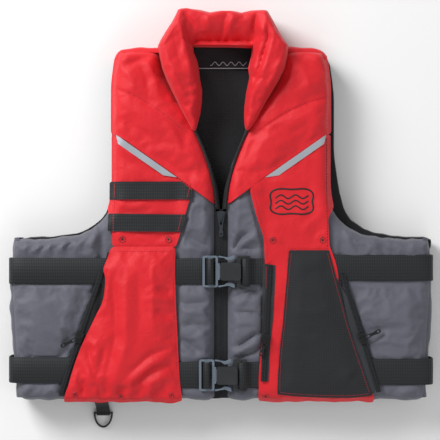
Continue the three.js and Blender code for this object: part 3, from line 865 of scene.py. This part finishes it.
def studs(centres, along, length, width, height):
    """A small block at each centre, lying along its own direction, narrower at its top: 8 corners and 6 faces each."""
    side = np.stack([-along[:, 1], along[:, 0], np.zeros(len(along))], -1)
    ends = np.array([-1, 1, -1, 1, -0.7, 0.7, -0.7, 0.7]) * length / 2
    sides = np.array([-1, -1, 1, 1, -0.5, -0.5, 0.5, 0.5]) * width / 2
    rise = np.array([0, 0, 0, 0, 1, 1, 1, 1]) * height
    corners = (
        centres[:, None]
        + ends[None, :, None] * along[:, None]
        + sides[None, :, None] * side[:, None]
        + rise[None, :, None] * np.array([0, 0, 1.0])
    )
    block = np.array([(0, 2, 3, 1), (4, 5, 7, 6), (0, 1, 5, 4), (2, 6, 7, 3), (0, 4, 6, 2), (1, 3, 7, 5)])
    faces = (block[None] + 8 * np.arange(len(centres))[:, None, None]).reshape(-1, 4)
    return corners.reshape(-1, 3), faces.tolist()


def stitched(name, lines, surface, thread, slot, pitch=4.2):
    """Rows of stitches along plan lines, each stitch a small block lying on a height function of x and y."""
    places, ways = [], []
    for line in lines:
        line = curve(line, 0.5)
        at = np.arange(pitch / 2, 0.5 * (len(line) - 1), pitch)
        x, y = (np.interp(at, 0.5 * np.arange(len(line)), line[:, axis]) for axis in (0, 1))
        ahead = [np.interp(at + 1, 0.5 * np.arange(len(line)), line[:, axis]) for axis in (0, 1)]
        z = surface(x, y)
        way = np.stack([ahead[0] - x, ahead[1] - y, surface(*ahead) - z], -1)
        places.append(np.stack([x, y, z - 0.25], -1))
        ways.append(way / np.maximum(np.linalg.norm(way, axis=1), 1e-6)[:, None])
    blocks = studs(np.vstack(places), np.vstack(ways), STITCH_LENGTH, STITCH_WIDTH, STITCH_HEIGHT)
    show(name, *blocks, thread, slot)


for side, sign in (("left", -1), ("right", 1)):
    edge = [(sign * x, y) for x, y in ((152, 124), (104, 90.5), (58, 58), (36, 42), (12, 25))]
    seam = YOKE_SEAMS[side][2:-1:4] + (0, 2.4)
    stitched(f"yoke_stitching_{side}", [edge, seam], yoke_top[side], deep_red_thread, "red_nylon")
stitched(
    "chest_stitching_left",
    [[(-156, 118), (-156, 60)], [(-156, 28), (-156, 12)], [(-155, -36.5), (-110, -36.5), (-68, -36.5)]],
    chest_top["left"], deep_red_thread, "red_nylon",
)
stitched(
    "chest_stitching_right",
    [[(46, 50), (51, 26), (58, -4), (66, -28), (67, -58)], [(98, -41), (128, -41), (155, -41)],
     [(59, -258), (110, -263), (220, -258)]],
    chest_top["right"], deep_red_thread, "red_nylon",
)
stitched("chest_edge_right", [[(154.5, 120), (154.5, 40), (155, -38)]], chest_top["right"], dark_thread_and_hole_shade, "black_nylon")

# ---- Eyelets and badge --------------------------------------------------------------------------------------------
# Eyelets for lashings, worked in red thread round a small hole, and a badge of waves in a frame, embroidered in black
# thread on the right chest. The badge is a plain pattern of its own.


def ringed(name, places, surface, radius, thick, thread, slot):
    """A ring of thread lying on a surface at each place, with a small dark disc inside: painted shade for the hole."""
    turn = np.linspace(0, 2 * math.pi, 21)
    # The hole is a small dark disc in the dark thread's material, painted shade where the hole would be shaded.
    for part, size, wide, colour in (
        ("rim", radius, thick, thread), ("hole", radius * 0.2, radius * 0.24, dark_thread_and_hole_shade)
    ):
        points, faces = [], []
        for x, y in places:
            ring_x, ring_y = x + size * np.cos(turn), y + size * np.sin(turn)
            path = np.column_stack([ring_x, ring_y, surface(ring_x, ring_y) + 0.15])
            start = sum(len(block) for block in points)
            block, quads = carried(path, round_section(wide, 6), (0, 0, 1))
            points.append(block)
            faces += [[corner + start for corner in quad] for quad in quads]
        show(f"{name}_{part}", np.vstack(points), faces, colour, slot)


EYELETS = {"left": [(-144, -28), (-77, -28)], "right": [(75.5, -29), (148, -29), (65, -258)]}
for side, places in EYELETS.items():
    ringed(f"eyelets_{side}", places, chest_top[side], 4.2, 0.9, deep_red_thread, "red_nylon")
BADGE = np.array([103.0, 27.0])
turn = np.linspace(0, 2 * math.pi, 33)
swollen = 1 + 0.12 * np.cos(4 * turn + math.pi)
badge_lines = [curve(np.column_stack([34 * np.cos(turn) * swollen, 20 * np.sin(turn) * swollen]) + BADGE, 2.0)]
for row in (-9, -1, 7):
    along = np.linspace(-24, 24, 49)
    badge_lines.append(np.column_stack([along, row + 2.6 * np.sin(along / 3.4)]) + BADGE)
for number, line in enumerate(badge_lines):
    path = np.column_stack([line, chest_top["right"](*line.T) + 0.2])
    section = round_section(1.0 if number else 1.2) * (1, 0.6)
    show(f"badge_thread_{number}", *carried(path, section), dark_thread_and_hole_shade, "black_nylon")

# ---- Reflective strips --------------------------------------------------------------------------------------------
# A strip of grey glass-bead tape under each yoke's lower edge, heat-bonded on. It is smooth, and a little brighter
# than cloth.
bead_tape = plain("glass_bead_tape", "a4aab2", 0.5, 0.1)
for side in ("left", "right"):
    loop = plan_outline(f"reflective_strip_{side}")
    laid(
        f"reflective_tape_{side}", loop, 0.0, 0.8, bead_tape, "reflective", step=3.0,
        stands_for=[f"reflective_strip_{side}"], ground=yoke_top[side],
    )

# ---- Collar -------------------------------------------------------------------------------------------------------
# One padded red roll round the neck. Behind the neck its inner face shows, gathered into the neck seam; at the sides
# it folds over, and it tapers down each side of the opening to a point.
COLLAR_FOOT = extent("collar_left")[0][2] + 2
COLLAR_OUTLINE = [
    (-38, 131), (-42, 134), (-50, 149), (-60, 168), (-70, 188), (-78, 205), (-84.5, 222), (-88.5, 240), (-91, 255),
    (-89, 261), (-80, 276), (-72, 288), (-67, 298), (-63, 307), (-58, 309), (-50, 310), (-42, 308.5), (-30, 307),
    (-22, 305), (-16, 303.5), (-8, 305), (0, 306), (14, 306), (22, 305), (29, 303), (36, 304.5), (45, 306.5),
    (60, 307), (67, 306), (70, 302), (76, 291), (84, 276), (92, 263), (97, 255), (95.5, 240), (91.5, 222), (83.5, 205),
    (73.5, 188), (62.5, 170), (52, 150), (42, 135), (37.5, 131), (35.5, 140), (35, 152), (35.5, 165), (38, 185),
    (41, 199), (43, 208), (41, 222), (46, 241), (46.5, 249), (46, 253), (30, 253), (10, 254), (-10, 254), (-30, 254.5),
    (-42.5, 255), (-41, 244), (-36, 232), (-34, 222), (-32, 205), (-29, 190), (-29.5, 172), (-32, 154), (-36, 138),
]
COLLAR_FOLDS = [
    (4, 2.0, -62, 306, -59, 285, -53, 262, -47, 240, -43, 216),
    (3.5, -3.4, -56, 304, -51, 284, -45, 262, -40, 240, -37, 214),
    (3.5, -3.0, -62, 303, -50, 294, -40, 284, -40, 268),
    (6, 2.4, -84, 262, -76, 236, -66, 206, -52, 178, -44, 156),
    (5, -1.8, -70, 282, -64, 250, -57, 222, -52, 200),
    (3.5, -2.6, -40, 202, -42, 194, -36, 190),
    (4, 2.0, -34, 186, -38, 174, -42, 160),
    (3.5, -2.0, -30, 180, -44, 180, -52, 184),
    (5, -2.0, -86, 246, -80, 226, -70, 204),
    (3.2, -6.0, 69, 304, 67, 284, 67, 263, 62, 244, 57, 226, 49, 206, 44, 188, 42, 158),
    (4.5, 3.0, 60, 290, 58, 262, 54, 240, 48, 220),
    (4.5, 2.6, 76, 284, 74, 258, 69, 238, 60, 212, 50, 180),
    (3.0, -5.0, 54, 304, 49, 290, 47, 278, 50, 266, 47, 256),
    (5, -2.2, 90, 262, 86, 244, 80, 224),
    (5, 2.0, 88, 250, 84, 228, 76, 206, 64, 184),
    (3.5, -2.0, 60, 262, 54, 254, 48, 250),
    (3.5, -2.2, 46, 206, 54, 204, 62, 208),
    (4.5, -3.0, 14, 306, 6, 290, 2, 274, 0, 258),
    (5, 2.4, 22, 300, 14, 284, 10, 264),
    (5, -2.0, 38, 300, 28, 290, 24, 278),
    (5, 2.0, -16, 302, -20, 288, -14, 272),
    (4, -1.6, -30, 300, -30, 284, -26, 270),
]
collar_outline = outline_of(COLLAR_OUTLINE, 2.5)
LEFT_OPENING = np.array(
    [(-42.5, 262), (-41, 244), (-36, 232), (-34, 222), (-32, 205), (-29, 190), (-29.5, 172), (-32, 154)], float
)
RIGHT_OPENING = np.array(
    [(46, 262), (46.5, 249), (46, 241), (41, 222), (43, 208), (41, 199), (38, 185), (35.5, 165), (35, 152)], float
)


def collar_top(x, y):
    """The collar's upper face. Its crest is full over the sides and lower towards the points; behind the neck it
    climbs from the seam. Beside the neck opening it slopes down from the fold, and its other edges roll down through
    a quarter circle. Folds and gathers are added."""
    depth = depth_in(x, y, collar_outline)
    behind_neck = np.clip((y - 253) / 40, 0, 1)
    corner = 45 + 15 * np.clip((y - 255) / 50, 0, 1)
    sides = ease(-10, 10, np.abs(x - 2) - corner)
    outer = ease(252, 262, y)
    behind = 50 + 32 * np.sin(behind_neck * math.pi / 2)
    leaf = 77 + 14 * ease(135, 225, y) - 3 * ease(280, 306, y)
    middle = (1 - sides) * outer
    crest = behind * (1 - sides) * outer + leaf * (1 - middle)
    fold_width = np.where(x < 0, 12, 7 + 12 * ease(190, 235, y))
    to_neck = np.where(x < 0, to_line(x, y, LEFT_OPENING), to_line(x, y, RIGHT_OPENING))
    slope = 0.85 * np.maximum(0, fold_width - to_neck) * (1 - middle)
    far_drop = sides * 30 + (1 - sides) * (8 + 20 * ease(0.5, 1, behind_neck))
    drop = (6 + 12 * ease(140, 210, y)) * (1 - outer) + outer * far_drop
    roll = 1 - np.sqrt(1 - (1 - np.clip(depth / 10, 0, 1)) ** 2)
    gathers = np.sin(x / 2.4 + 1.6 * np.sin(x / 8.3)) * outer * (1 - ease(257, 272, y)) * (1 - sides)
    slack = folded(x, y, COLLAR_FOLDS) + 0.6 * ripple(x, y, 34, 41) + 0.2 * ripple(x, y, 15, 42)
    return crest - slope - drop * roll + ease(0.3, 5, depth) * slack + ease(0, 3, depth) * 1.5 * gathers


def collar_bottom(x, y):
    """The collar's lower face: on the pads beside the opening, and down to the back behind the neck."""
    return FRONT_LEVEL - 7 - (FRONT_LEVEL - 7 - COLLAR_FOOT) * ease(250, 262, y)


collar = soft_body(
    "collar_roll", collar_outline, collar_top, collar_bottom, red_nylon, "red_nylon",
    ["collar_back", "collar_left", "collar_right"], step=2.6, rings=(0.6, 1.6, 3.2, 5), levels=6, bulge=1.5,
)
settled(collar, lambda x, y: ease(1, 6, depth_in(x, y, collar_outline)), slack=0.014, pressure=1.5, most=3.0)

# ---- Neckline piping ----------------------------------------------------------------------------------------------
# A black piping cord covers the raw edge of each yoke down the opening, from under the collar to the zipper's top.
black_cord = woven("black_piping", "1d1e21", "17181a", 0.8, 0.6, 0.1)
for side, sign in (("left", -1), ("right", 1)):
    line = curve([(sign * x, y) for x, y in ((41, 136), (34, 122), (27, 106), (20, 87), (13, 62), (9, 42), (6.5, 19))])
    height = FRONT_LEVEL - 1 - 3.5 * (1 - ease(19, 60, line[:, 1]))
    path = np.column_stack([line, height])
    show(f"neckline_piping_{side}", *carried(path, round_section(1.8, 10)), black_cord, "black_nylon")

# ---- Belts and webbing --------------------------------------------------------------------------------------------
# Polypropylene webbing, 38 mm wide for the belts, 26 mm for the chest bands and 20 mm for the hem tab. It is woven
# in ribs across its length, nearly black, with a dull shine. The ribs are drawn 3.4 mm apart, and the cords 4.6 mm.


def webbing(name, colour, along):
    """Webbing: ribs across the length and fainter cords along it, which is the X or the Y axis. In the grooves between
    them the colour drops to 0.42 of itself, as painted shade.
    """

    def build(tree, place):
        ribs = texture(tree, "Wave", place, 3.4, bands=along, Distortion=0.3).outputs["Fac"]
        cords = texture(tree, "Wave", place, 4.6, bands="Y" if along == "X" else "X").outputs["Fac"]
        both = add(tree, "ShaderNodeMix", {0: 0.4, 2: ribs, 3: cords}).outputs[0]
        # Painted shade: the grooves between the ribs and the cords are darker in colour.
        return mixed(tree, both, darker(colour, 0.42), linear(colour)), bumped(tree, both, 0.5, 0.0005)

    return surfaced(name, build, 0.6, Specular_IOR_Level=0.3)


belt_webbing = webbing("black_polypropylene_webbing", "2a2c2f", "X")
tab_webbing = webbing("black_tab_webbing", "2a2c2f", "Y")
bodies = frame["record"]["behaviour"]["bodies"]
body_with = {node: body for body, nodes in bodies.items() for node in nodes}


def flat_section(width, thick):
    """Webbing's section: flat, with rounded selvedges."""
    half, lip = width / 2, thick * 0.4
    return np.array(
        [
            (-half, -lip * 0.4), (-half + 0.8, -thick / 2), (half - 0.8, -thick / 2), (half, -lip * 0.4),
            (half, lip * 0.4), (half - 0.8, thick / 2), (-half + 0.8, thick / 2), (-half, lip * 0.4),
        ]
    )


def belt(name, node, path, width, across=(0, 1, 0)):
    """Belt webbing along a path that stays square to its width. It stands for a node and rides on its body."""
    surface = carried(path, flat_section(width, BELT_THICK), across)
    show(name, *surface, belt_webbing, "black_webbing", body_with[node], [node])


BELT_THICK = 2
BELT_LEVEL = extent("upper_belt_left")[1][2] - BELT_THICK / 2
for level in ("upper", "lower"):
    low, high = extent(f"{level}_belt_left")
    y, width = (low[1] + high[1]) / 2, high[1] - low[1]
    path = curve(
        [
            (high[0], y, BELT_LEVEL), (-200, y, BELT_LEVEL + 0.2), (-262, y, BELT_LEVEL + 0.4),
            (-296, y, BELT_LEVEL - 1), (low[0] + 4, y, BELT_LEVEL - 8), (low[0] + 1, y, BELT_LEVEL - 24),
            (low[0] + 3, y, 20), (low[0] + 8, y, 9),
        ]
    )
    belt(f"{level}_webbing_left", f"{level}_belt_left", path, width, (0, -1, 0))

    strap_low, strap_high = extent(f"{level}_buckle_strap")
    y = (strap_low[1] + strap_high[1]) / 2
    bar, crest = strap_high[0] - 5.6, strap_high[2] - 1
    path = curve(
        [
            (strap_low[0], y, BELT_LEVEL), (bar - 14, y, BELT_LEVEL), (bar - 8, y, BELT_LEVEL + 0.6),
            (bar - 4.9, y, BELT_LEVEL + 4), (bar - 3.6, y, crest - 2), (bar, y, crest),
            (bar + 3.6, y, crest - 2), (bar + 4.6, y, BELT_LEVEL + 3.8),
        ],
        1.5,
    )
    belt(f"{level}_strap_webbing", f"{level}_buckle_strap", path, width)

    low, high = extent(f"{level}_belt_right")
    crest = high[2] - 1
    end = low[0] + 4.8
    y_side = high[1] - width / 2
    path = curve(
        [
            (end - 3.8, y, BELT_LEVEL + 4), (end - 3.0, y, crest - 2), (end + 1, y, crest), (end + 6, y, crest - 2),
            (end + 12, y, BELT_LEVEL + 3), (end + 22, y, BELT_LEVEL + 0.4), (110, y, BELT_LEVEL),
            (170, y_side, BELT_LEVEL), (230, y_side, BELT_LEVEL + 0.3), (262, y_side, BELT_LEVEL + 0.3),
            (296, y_side, BELT_LEVEL - 1), (high[0] - 4, y_side, BELT_LEVEL - 8),
            (high[0] - 1, y_side, BELT_LEVEL - 24), (high[0] - 3, y_side, 20), (high[0] - 8, y_side, 9),
        ],
        1.8,
    )
    belt(f"{level}_webbing_right", f"{level}_belt_right", path, width)

BAND_ENDS = {
    "upper": [[(-156, 54), (-156, 32)], [(-44, 54), (-49.5, 32)]],
    "lower": [[(-157, 8), (-157, -16)], [(-57, 8), (-62.5, -16)]],
}
band_top = {}
for level in BAND_ENDS:
    loop = plan_outline(f"webbing_band_{level}")
    loop[:, 0] -= 4.0 * (loop[:, 0] < -150)
    _, band_top[level] = laid(
        f"chest_band_{level}", loop, 2.4, 1.8, belt_webbing, "black_webbing",
        extra=lambda x, y, depth: 1.6 * swell(x, -152, -60), stands_for=[f"webbing_band_{level}"], under=1.6,
    )
for level, ends in BAND_ENDS.items():
    stitched(f"band_stitching_{level}", ends, band_top[level], red_thread, "red_nylon", 3.6)

# ---- Buckles, sliders, pulls and rings ----------------------------------------------------------------------------
# The hard parts keep their exact shapes, with their edges rounded as a mould or a die leaves them. The buckles are
# acetal: a slate frame and arms, and a charcoal socket. Sliders and pulls are die-cast zinc, enamelled black on the
# pockets, and the D-ring is enamelled steel.
slate_acetal = plain("slate_acetal", "6a7683", 0.38, grain=0.1, size=0.8)
charcoal_acetal = plain("charcoal_acetal", "26282b", 0.42, grain=0.2, size=0.8)
satin_zinc = plain("satin_zinc", "4a4e55", 0.35, 0.7, grain=0.1)
black_enamel = plain("black_enamel", "1d1e20", 0.3, 0.3, grain=0.05, coat=0.3)


def rounded(name, node, width, material):
    """A copy of a CAD node with its loose triangles merged and its sharp edges rounded to a radius."""
    shape = bmesh.new()
    shape.from_mesh(frame["nodes"][node].data)
    bmesh.ops.remove_doubles(shape, verts=shape.verts, dist=1e-5)
    bmesh.ops.dissolve_limit(shape, angle_limit=math.radians(2), verts=shape.verts, edges=shape.edges)
    mesh = bpy.data.meshes.new(name)
    shape.to_mesh(mesh)
    shape.free()
    piece = placed(mesh, material, body_with[node], [node])
    bevel = piece.modifiers.new("rounding", "BEVEL")
    bevel.width = width * 0.001
    bevel.segments = 3
    bevel.limit_method = "ANGLE"
    bevel.angle_limit = math.radians(30)
    bevel.harden_normals = True


for level in ("upper", "lower"):
    for part, node in (("ladder", "frame"), ("grip_top", "arm_top"), ("grip_bottom", "arm_bottom")):
        rounded(f"{level}_buckle_{part}", f"{level}_buckle_{node}", 0.7, slate_acetal)
    rounded(f"{level}_buckle_body", f"{level}_buckle_socket", 1.1, charcoal_acetal)
rounded("main_slider", "main_zip_slider", 0.3, satin_zinc)
rounded("main_pull_tab", "main_zip_pull", 0.4, satin_zinc)
for pocket in ("pocket_left", "pocket_right_outer", "pocket_right_inner"):
    rounded(f"{pocket}_slider", f"{pocket}_zip_slider", 0.3, black_enamel)
    rounded(f"{pocket}_pull_tab", f"{pocket}_zip_pull", 0.4, black_enamel)
rounded("hem_ring", "d_ring", 0.8, black_enamel)

# ---- Zippers ------------------------------------------------------------------------------------------------------
# Nylon coil zippers on woven tape, all black. Each coil shows as a close row of teeth, 2 mm apart, along the tape's
# middle.
zip_cloth = woven("black_zip_tape", "242528", "1b1c1e", 1.2, 0.7, 0.08, crumple=0.15)
coil_nylon = plain("black_coil_nylon", "303236", 0.4)


def chain(name, node, start, end, level, tape_half):
    """A tape along a straight line, and its coil: two staggered rows of teeth either side of the middle."""
    run = np.array([*(end - start), 0.0])
    length = np.linalg.norm(run)
    run /= length
    side = np.array([-run[1], run[0], 0])
    centres = []
    for row in (-1, 1):
        at = np.arange(0.5 + (row > 0) * 1.0, length - 0.5, 2.0)
        centres.append(np.array([*start, level]) + at[:, None] * run + row * 1.6 * side)
    centres = np.vstack(centres)
    points, faces = studs(centres, np.tile(side, (len(centres), 1)), 2.5, 1.3, 1.3)
    show(f"{name}_coil", points, faces, coil_nylon, "zip_tape")
    path = np.array([*start, level]) + np.linspace(0, length, 40)[:, None] * run
    surface = carried(path, flat_section(2 * tape_half, TAPE_THICK))
    return show(f"{name}_tape", *surface, zip_cloth, "zip_tape", stands_for=[node])


TAPE_THICK = 0.9
TAPE_INSET = 5.4
low, high = extent("main_zip_tape_left")
main = chain("main_zip", "main_zip_tape_left", np.array([0.0, 16.0]), np.array([0.0, low[1]]), high[2] - 2.4, 9.5)
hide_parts("main_zip_tape_right")
for side, sign in (("left", -1), ("right", 1)):
    line = curve([(sign * x, y, high[2] - 2.4) for x, y in ((5.2, 13), (6.5, 30), (9, 46), (14, 64), (21, 84))])
    show(f"open_tape_{side}", *carried(line, flat_section(7.0, TAPE_THICK)), zip_cloth, "zip_tape")
for pocket in ("pocket_left", "pocket_right_outer", "pocket_right_inner"):
    low, high = extent(f"{pocket}_zip_tape")
    top, foot = low[0] + TAPE_INSET, high[0] - TAPE_INSET
    if pocket != "pocket_right_outer":
        top, foot = foot, top
    start, end = np.array([top, high[1] - 1]), np.array([foot, low[1] + 1])
    chain(pocket, f"{pocket}_zip_tape", start, end, high[2] - 0.8, 3.6)

# ---- Left pocket --------------------------------------------------------------------------------------------------
# A full bellows of red nylon, sewn down along its top, inner side and hem, and open along its slanted outer side,
# where its black lining shows. The spare cloth hangs in long folds that run down and fan out to the hem.
lining_outline = outline_of(
    [(-165, -46), (-176, -84), (-180, -97), (-188, -109), (-196, -126), (-200, -142), (-203, -160), (-212, -178),
     (-222.5, -210), (-232, -238), (-237, -257), (-160, -257), (-150, -200), (-150, -60)], 4.0,
)
inside, _ = laid(
    "pocket_left_inside", lining_outline, 2.8, 0.8, black_nylon, "black_nylon", stands_for=["pocket_left_lining"]
)
POCKET_FOLDS = [
    (9, 4.4, -160, -50, -163, -90, -167, -120, -180, -160),
    (8, -5.6, -152, -60, -155, -100, -153, -168, -168, -233, -180, -260),
    (11, 4.6, -134, -48, -138, -110, -138, -180, -152, -226, -164, -258),
    (9, -3.0, -121, -60, -119, -120, -117, -172),
    (12, 3.0, -98, -50, -100, -120, -98, -178),
    (5, -4.4, -66, -188, -84, -190, -103, -195, -130, -219, -141, -233),
    (8, 3.6, -70, -197, -100, -207, -128, -232, -146, -258),
    (5, -4.2, -66, -209, -103, -222, -134, -246, -147, -262),
    (7, 3.2, -68, -222, -100, -236, -122, -260),
    (5, -2.6, -66, -107, -80, -103, -96, -97),
    (5, 2.4, -66, -119, -84, -116, -102, -108),
    (5, -2.4, -66, -143, -82, -137, -100, -128),
    (5, -2.4, -78, -232, -84, -246, -90, -260),
    (4.95, -4.6, -166, -166, -172, -200, -182, -236),
    (5.5, 3.8, -178, -166, -186, -204, -194, -236, -202, -252),
    (4.95, -5.4, -196, -184, -188, -204, -186, -230),
    (4.4, -5.9, -200, -228, -201, -244, -203, -260),
    (5.5, 3.2, -206, -210, -212, -236, -220, -256),
    (4.4, -4.3, -168, -226, -166, -244, -168, -260),
    (4.4, 3.5, -184, -240, -182, -250, -182, -261),
    (4.4, -4.9, -140, -236, -146, -248, -152, -260),
    (4.4, 3.5, -126, -236, -134, -250, -138, -260),
    (4.4, -3.8, -112, -240, -120, -252, -126, -261),
    (4.4, 3.0, -98, -240, -104, -252, -108, -261),
    (4.4, -2.4, -88, -242, -92, -252, -94, -261),
    (4.4, 2.4, -196, -172, -186, -180, -176, -182),
    (4.4, -2.7, -198, -182, -188, -190, -178, -188),
]
SEWN_TOP = -39.0
pocket_outline = scalloped(outline_of(
    [(-160, SEWN_TOP), (-165, -55), (-172, -72), (-168.5, -80), (-168, -92), (-170, -110), (-173, -122), (-181, -137),
     (-191, -158), (-198, -172), (-205, -188), (-213, -210), (-218.5, -228), (-222.5, -243), (-231, -261), (-180, -264),
     (-110, -264), (-57, -262), (-60, -235), (-62, -200), (-66, -120), (-67, -80), (-66.5, SEWN_TOP)], 3.2,
))
pocket_outline = over_edge(pocket_outline, 4.0)
pocket_sewn = np.array([(-160.0, SEWN_TOP), (-66.5, SEWN_TOP), (-66.5, -120), (-61, -220), (-57, -266), (-236, -266)])


def bellows_top(x, y):
    """The pocket's face: it rises from its sewn edges, stays a little open at the mouth, and is folded."""
    sewn = to_line(x, y, pocket_sewn)
    mouth = depth_in(x, y, pocket_outline)
    full = 10.0 * (1 - np.exp(-sewn / 16)) * (0.62 + 0.38 * ease(0, 34, mouth))
    slack = folded(x, y, POCKET_FOLDS) + 0.6 * ripple(x, y, 30, 51)
    hem = 6 * ease(4, -6, depth_in(x, y, front_outline["left"]))
    return FRONT_LEVEL + 3.4 + full + ease(0.5, 12, sewn) * ease(-1, 4, mouth) * slack - hem


def bellows_bottom(x, y):
    """The underside: just under the face, and lying on the panel where it is sewn."""
    return np.minimum(bellows_top(x, y) - 1.4, FRONT_LEVEL + 2.4 + 6 * ease(2, 14, to_line(x, y, pocket_sewn)))


def loose_bellows(x, y):
    """1 where the pocket's face is free to move: away from its sewn edges and its mouth."""
    return ease(2, 10, to_line(x, y, pocket_sewn)) * ease(1, 6, depth_in(x, y, pocket_outline))


pocket = soft_body(
    "pocket_left_bellows", pocket_outline, bellows_top, bellows_bottom, red_nylon, "red_nylon", ["pocket_left"],
    step=3.2, rings=(0.8, 2.0),
)
settled(pocket, loose_bellows, slack=0.012, pressure=1.5, most=3.0)
pocket_face = cloth_top(pocket)
stitched(
    "pocket_left_stitching",
    [[(-69.5, -46), (-69.5, -110), (-65, -210), (-61, -256)], [(-156, -46), (-110, -46), (-70, -46)],
     [(-228, -258), (-150, -260), (-62, -258)]],
    pocket_face, deep_red_thread, "red_nylon",
)
ringed("eyelets_hem", [(-212, -254), (-146, -257), (-72, -255)], pocket_face, 3.6, 0.8, deep_red_thread, "red_nylon")

# ---- Right pocket -------------------------------------------------------------------------------------------------
# A flat bellows faced in coarse black nylon, sewn on the red panel. A charcoal gusset joins it to the slanted
# zipper, and a charcoal facing lies under the inner zipper. The face and the facing are stitched in red.
gusset_outline = outline_of(
    [(150, -47), (156, -58), (168, -84), (184, -112), (194, -127), (200, -144), (204, -165), (209, -188),
     (218, -216), (228, -243), (222, -254), (150, -250), (130, -150)], 4.0,
)
gusset_nylon = woven("charcoal_gusset_nylon", "34363a", "2a2b2f", 1.6, 0.65, 0.08)
gusset, _ = laid("pocket_right_gusset", gusset_outline, 3.6, 0.9, gusset_nylon, "black_nylon")
facing_outline = outline_of(
    [(60.5, -63), (79, -66), (78.5, -100), (76, -140), (72, -180), (69, -236), (58, -233), (59, -200), (60, -140)], 4.0
)
zip_facing, zip_facing_top = laid("inner_zip_facing", facing_outline, 3.7, 0.8, gusset_nylon, "black_nylon")
stitched(
    "inner_zip_stitching", [[(66, -68), (65.5, -100)], [(61.5, -184), (60, -228)]], zip_facing_top, red_thread,
    "red_nylon", 3.2,
)
# Coarse nylon, drawn with 3.4 mm between threads: nearly black, matt, with a grid shown by its bump and by painted
# shade between the threads.
coarse_nylon = woven("coarse_black_nylon", "26272b", "1f2023", 3.4, 0.7, 0.08, crumple=0.3, gap_shade=0.4)
right_outline = outline_of(
    [(99, -44), (157, -44), (162, -62), (170, -92), (178, -122), (186, -152), (197, -186), (208, -218), (221, -256),
     (190, -259), (150, -259), (110, -257), (82, -254), (83, -225), (86, -185), (90, -150), (93, -115), (96, -80)], 3.5,
)
POCKET_RIGHT_FOLDS = [
    (5, 1.6, 214, -212, 190, -218, 172, -236),
    (5, -1.6, 216, -222, 196, -228, 180, -248),
    (7, -1.2, 110, -80, 140, -74, 164, -84),
    (7, 1.2, 96, -130, 130, -136, 168, -128),
    (5, -1.2, 92, -158, 120, -166, 150, -164),
]


def flat_pocket_top(x, y):
    """The pocket's face: nearly level, a little full, with a few soft folds."""
    depth = depth_in(x, y, right_outline)
    slack = 0.7 * ripple(x, y, 60, 61) + folded(x, y, POCKET_RIGHT_FOLDS)
    return FRONT_LEVEL + 4.6 + 4.0 * ease(0, 26, depth) + ease(2, 14, depth) * slack


pocket = soft_body(
    "pocket_right_face", right_outline, flat_pocket_top, level_at(FRONT_LEVEL + 2.6), coarse_nylon, "coarse_nylon",
    ["pocket_right"], step=4.5, rings=(1.2,),
)
stitched(
    "pocket_right_stitching",
    [[(102.5, -48), (99, -80), (96, -115), (93, -150), (89, -185), (86, -225), (85.5, -249)],
     [(155, -48), (159, -63), (167, -93), (175, -122), (183, -152), (194, -187), (205, -219), (215.5, -250)],
     [(86, -251), (110, -253.5), (150, -255.5), (190, -255.5), (216, -253)]],
    flat_pocket_top, deep_red_thread, "red_nylon", 3.6,
)

# ---- Hem tab ------------------------------------------------------------------------------------------------------
# Webbing folded round the D-ring's bar and sewn into the front hem. It drops from the hem to the floor.
low, high = extent("hem_tab")
tab_x = (low[0] + high[0]) / 2
loop_y, loop_z = low[1] + 4, 4
turn = np.linspace(math.radians(60), math.radians(330), 12)
around = [(tab_x, loop_y + 3.2 * math.cos(a), loop_z + 3.2 * math.sin(a)) for a in turn]
path = curve([(tab_x, -266, 41), (tab_x, -270, 35), (tab_x, -275, 22), (tab_x, -281, 11), *around], 1.0)
surface = carried(path, flat_section(20, 1.6), (1, 0, 0))
tab = show("hem_tab_webbing", *surface, tab_webbing, "black_webbing", None, ["hem_tab"])
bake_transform(tab)

# ---- Floor, light and camera --------------------------------------------------------------------------------------
# A plain pale floor, a large soft light up and to the left, weaker ones on the right and beyond the hem, and a long
# lens straight above.
FLOOR_HALF = 4.0
FLOOR_GAP = 0.0005
floor_material = bpy.data.materials.new("pale_floor")
floor_material.use_nodes = True
floor_finish = floor_material.node_tree.nodes["Principled BSDF"].inputs
floor_finish["Base Color"].default_value = linear("f4f4f4")
floor_finish["Roughness"].default_value = 0.9
floor_mesh = bpy.data.meshes.new("floor")
corners = [(x * FLOOR_HALF, y * FLOOR_HALF, 0) for x, y in ((-1, -1), (1, -1), (1, 1), (-1, 1))]
floor_mesh.from_pydata(corners, [], [(0, 1, 2, 3)])
floor_mesh.materials.append(floor_material)
floor = bpy.data.objects.new("floor", floor_mesh)
bpy.context.scene.collection.objects.link(floor)
floor.location.z = -FLOOR_GAP


def lamp(name, place, size, power):
    """A square area light at a place, turned towards the vest."""
    data = bpy.data.lights.new(name, "AREA")
    data.size = size
    data.energy = power
    light = bpy.data.objects.new(name, data)
    light.location = place
    light.rotation_euler = (-Vector(place)).to_track_quat("-Z", "Y").to_euler()
    bpy.context.scene.collection.objects.link(light)


lamp("key", (-1.5, 1.5, 1.5), 1.2, 66)
lamp("fill", (1.6, -0.4, 1.6), 1.6, 6)
lamp("low_fill", (0.2, -1.7, 1.5), 1.8, 9)
world = bpy.data.worlds.new("studio")
bpy.context.scene.world = world
world.use_nodes = True
sky = world.node_tree.nodes["Background"].inputs
sky["Color"].default_value = (1, 1, 1, 1)
sky["Strength"].default_value = 0.36
bpy.context.scene.view_settings.view_transform = "Standard"

LENS, SENSOR, VIEW_WIDTH = 120.0, 36.0, 642.0
camera_data = bpy.data.cameras.new("camera")
camera_data.lens = LENS
camera_data.sensor_width = SENSOR
camera = bpy.data.objects.new("camera", camera_data)
camera.location = (-0.0015, 0.0, (FRONT_LEVEL + VIEW_WIDTH * LENS / SENSOR) * 0.001)
bpy.context.scene.collection.objects.link(camera)
bpy.context.scene.camera = camera
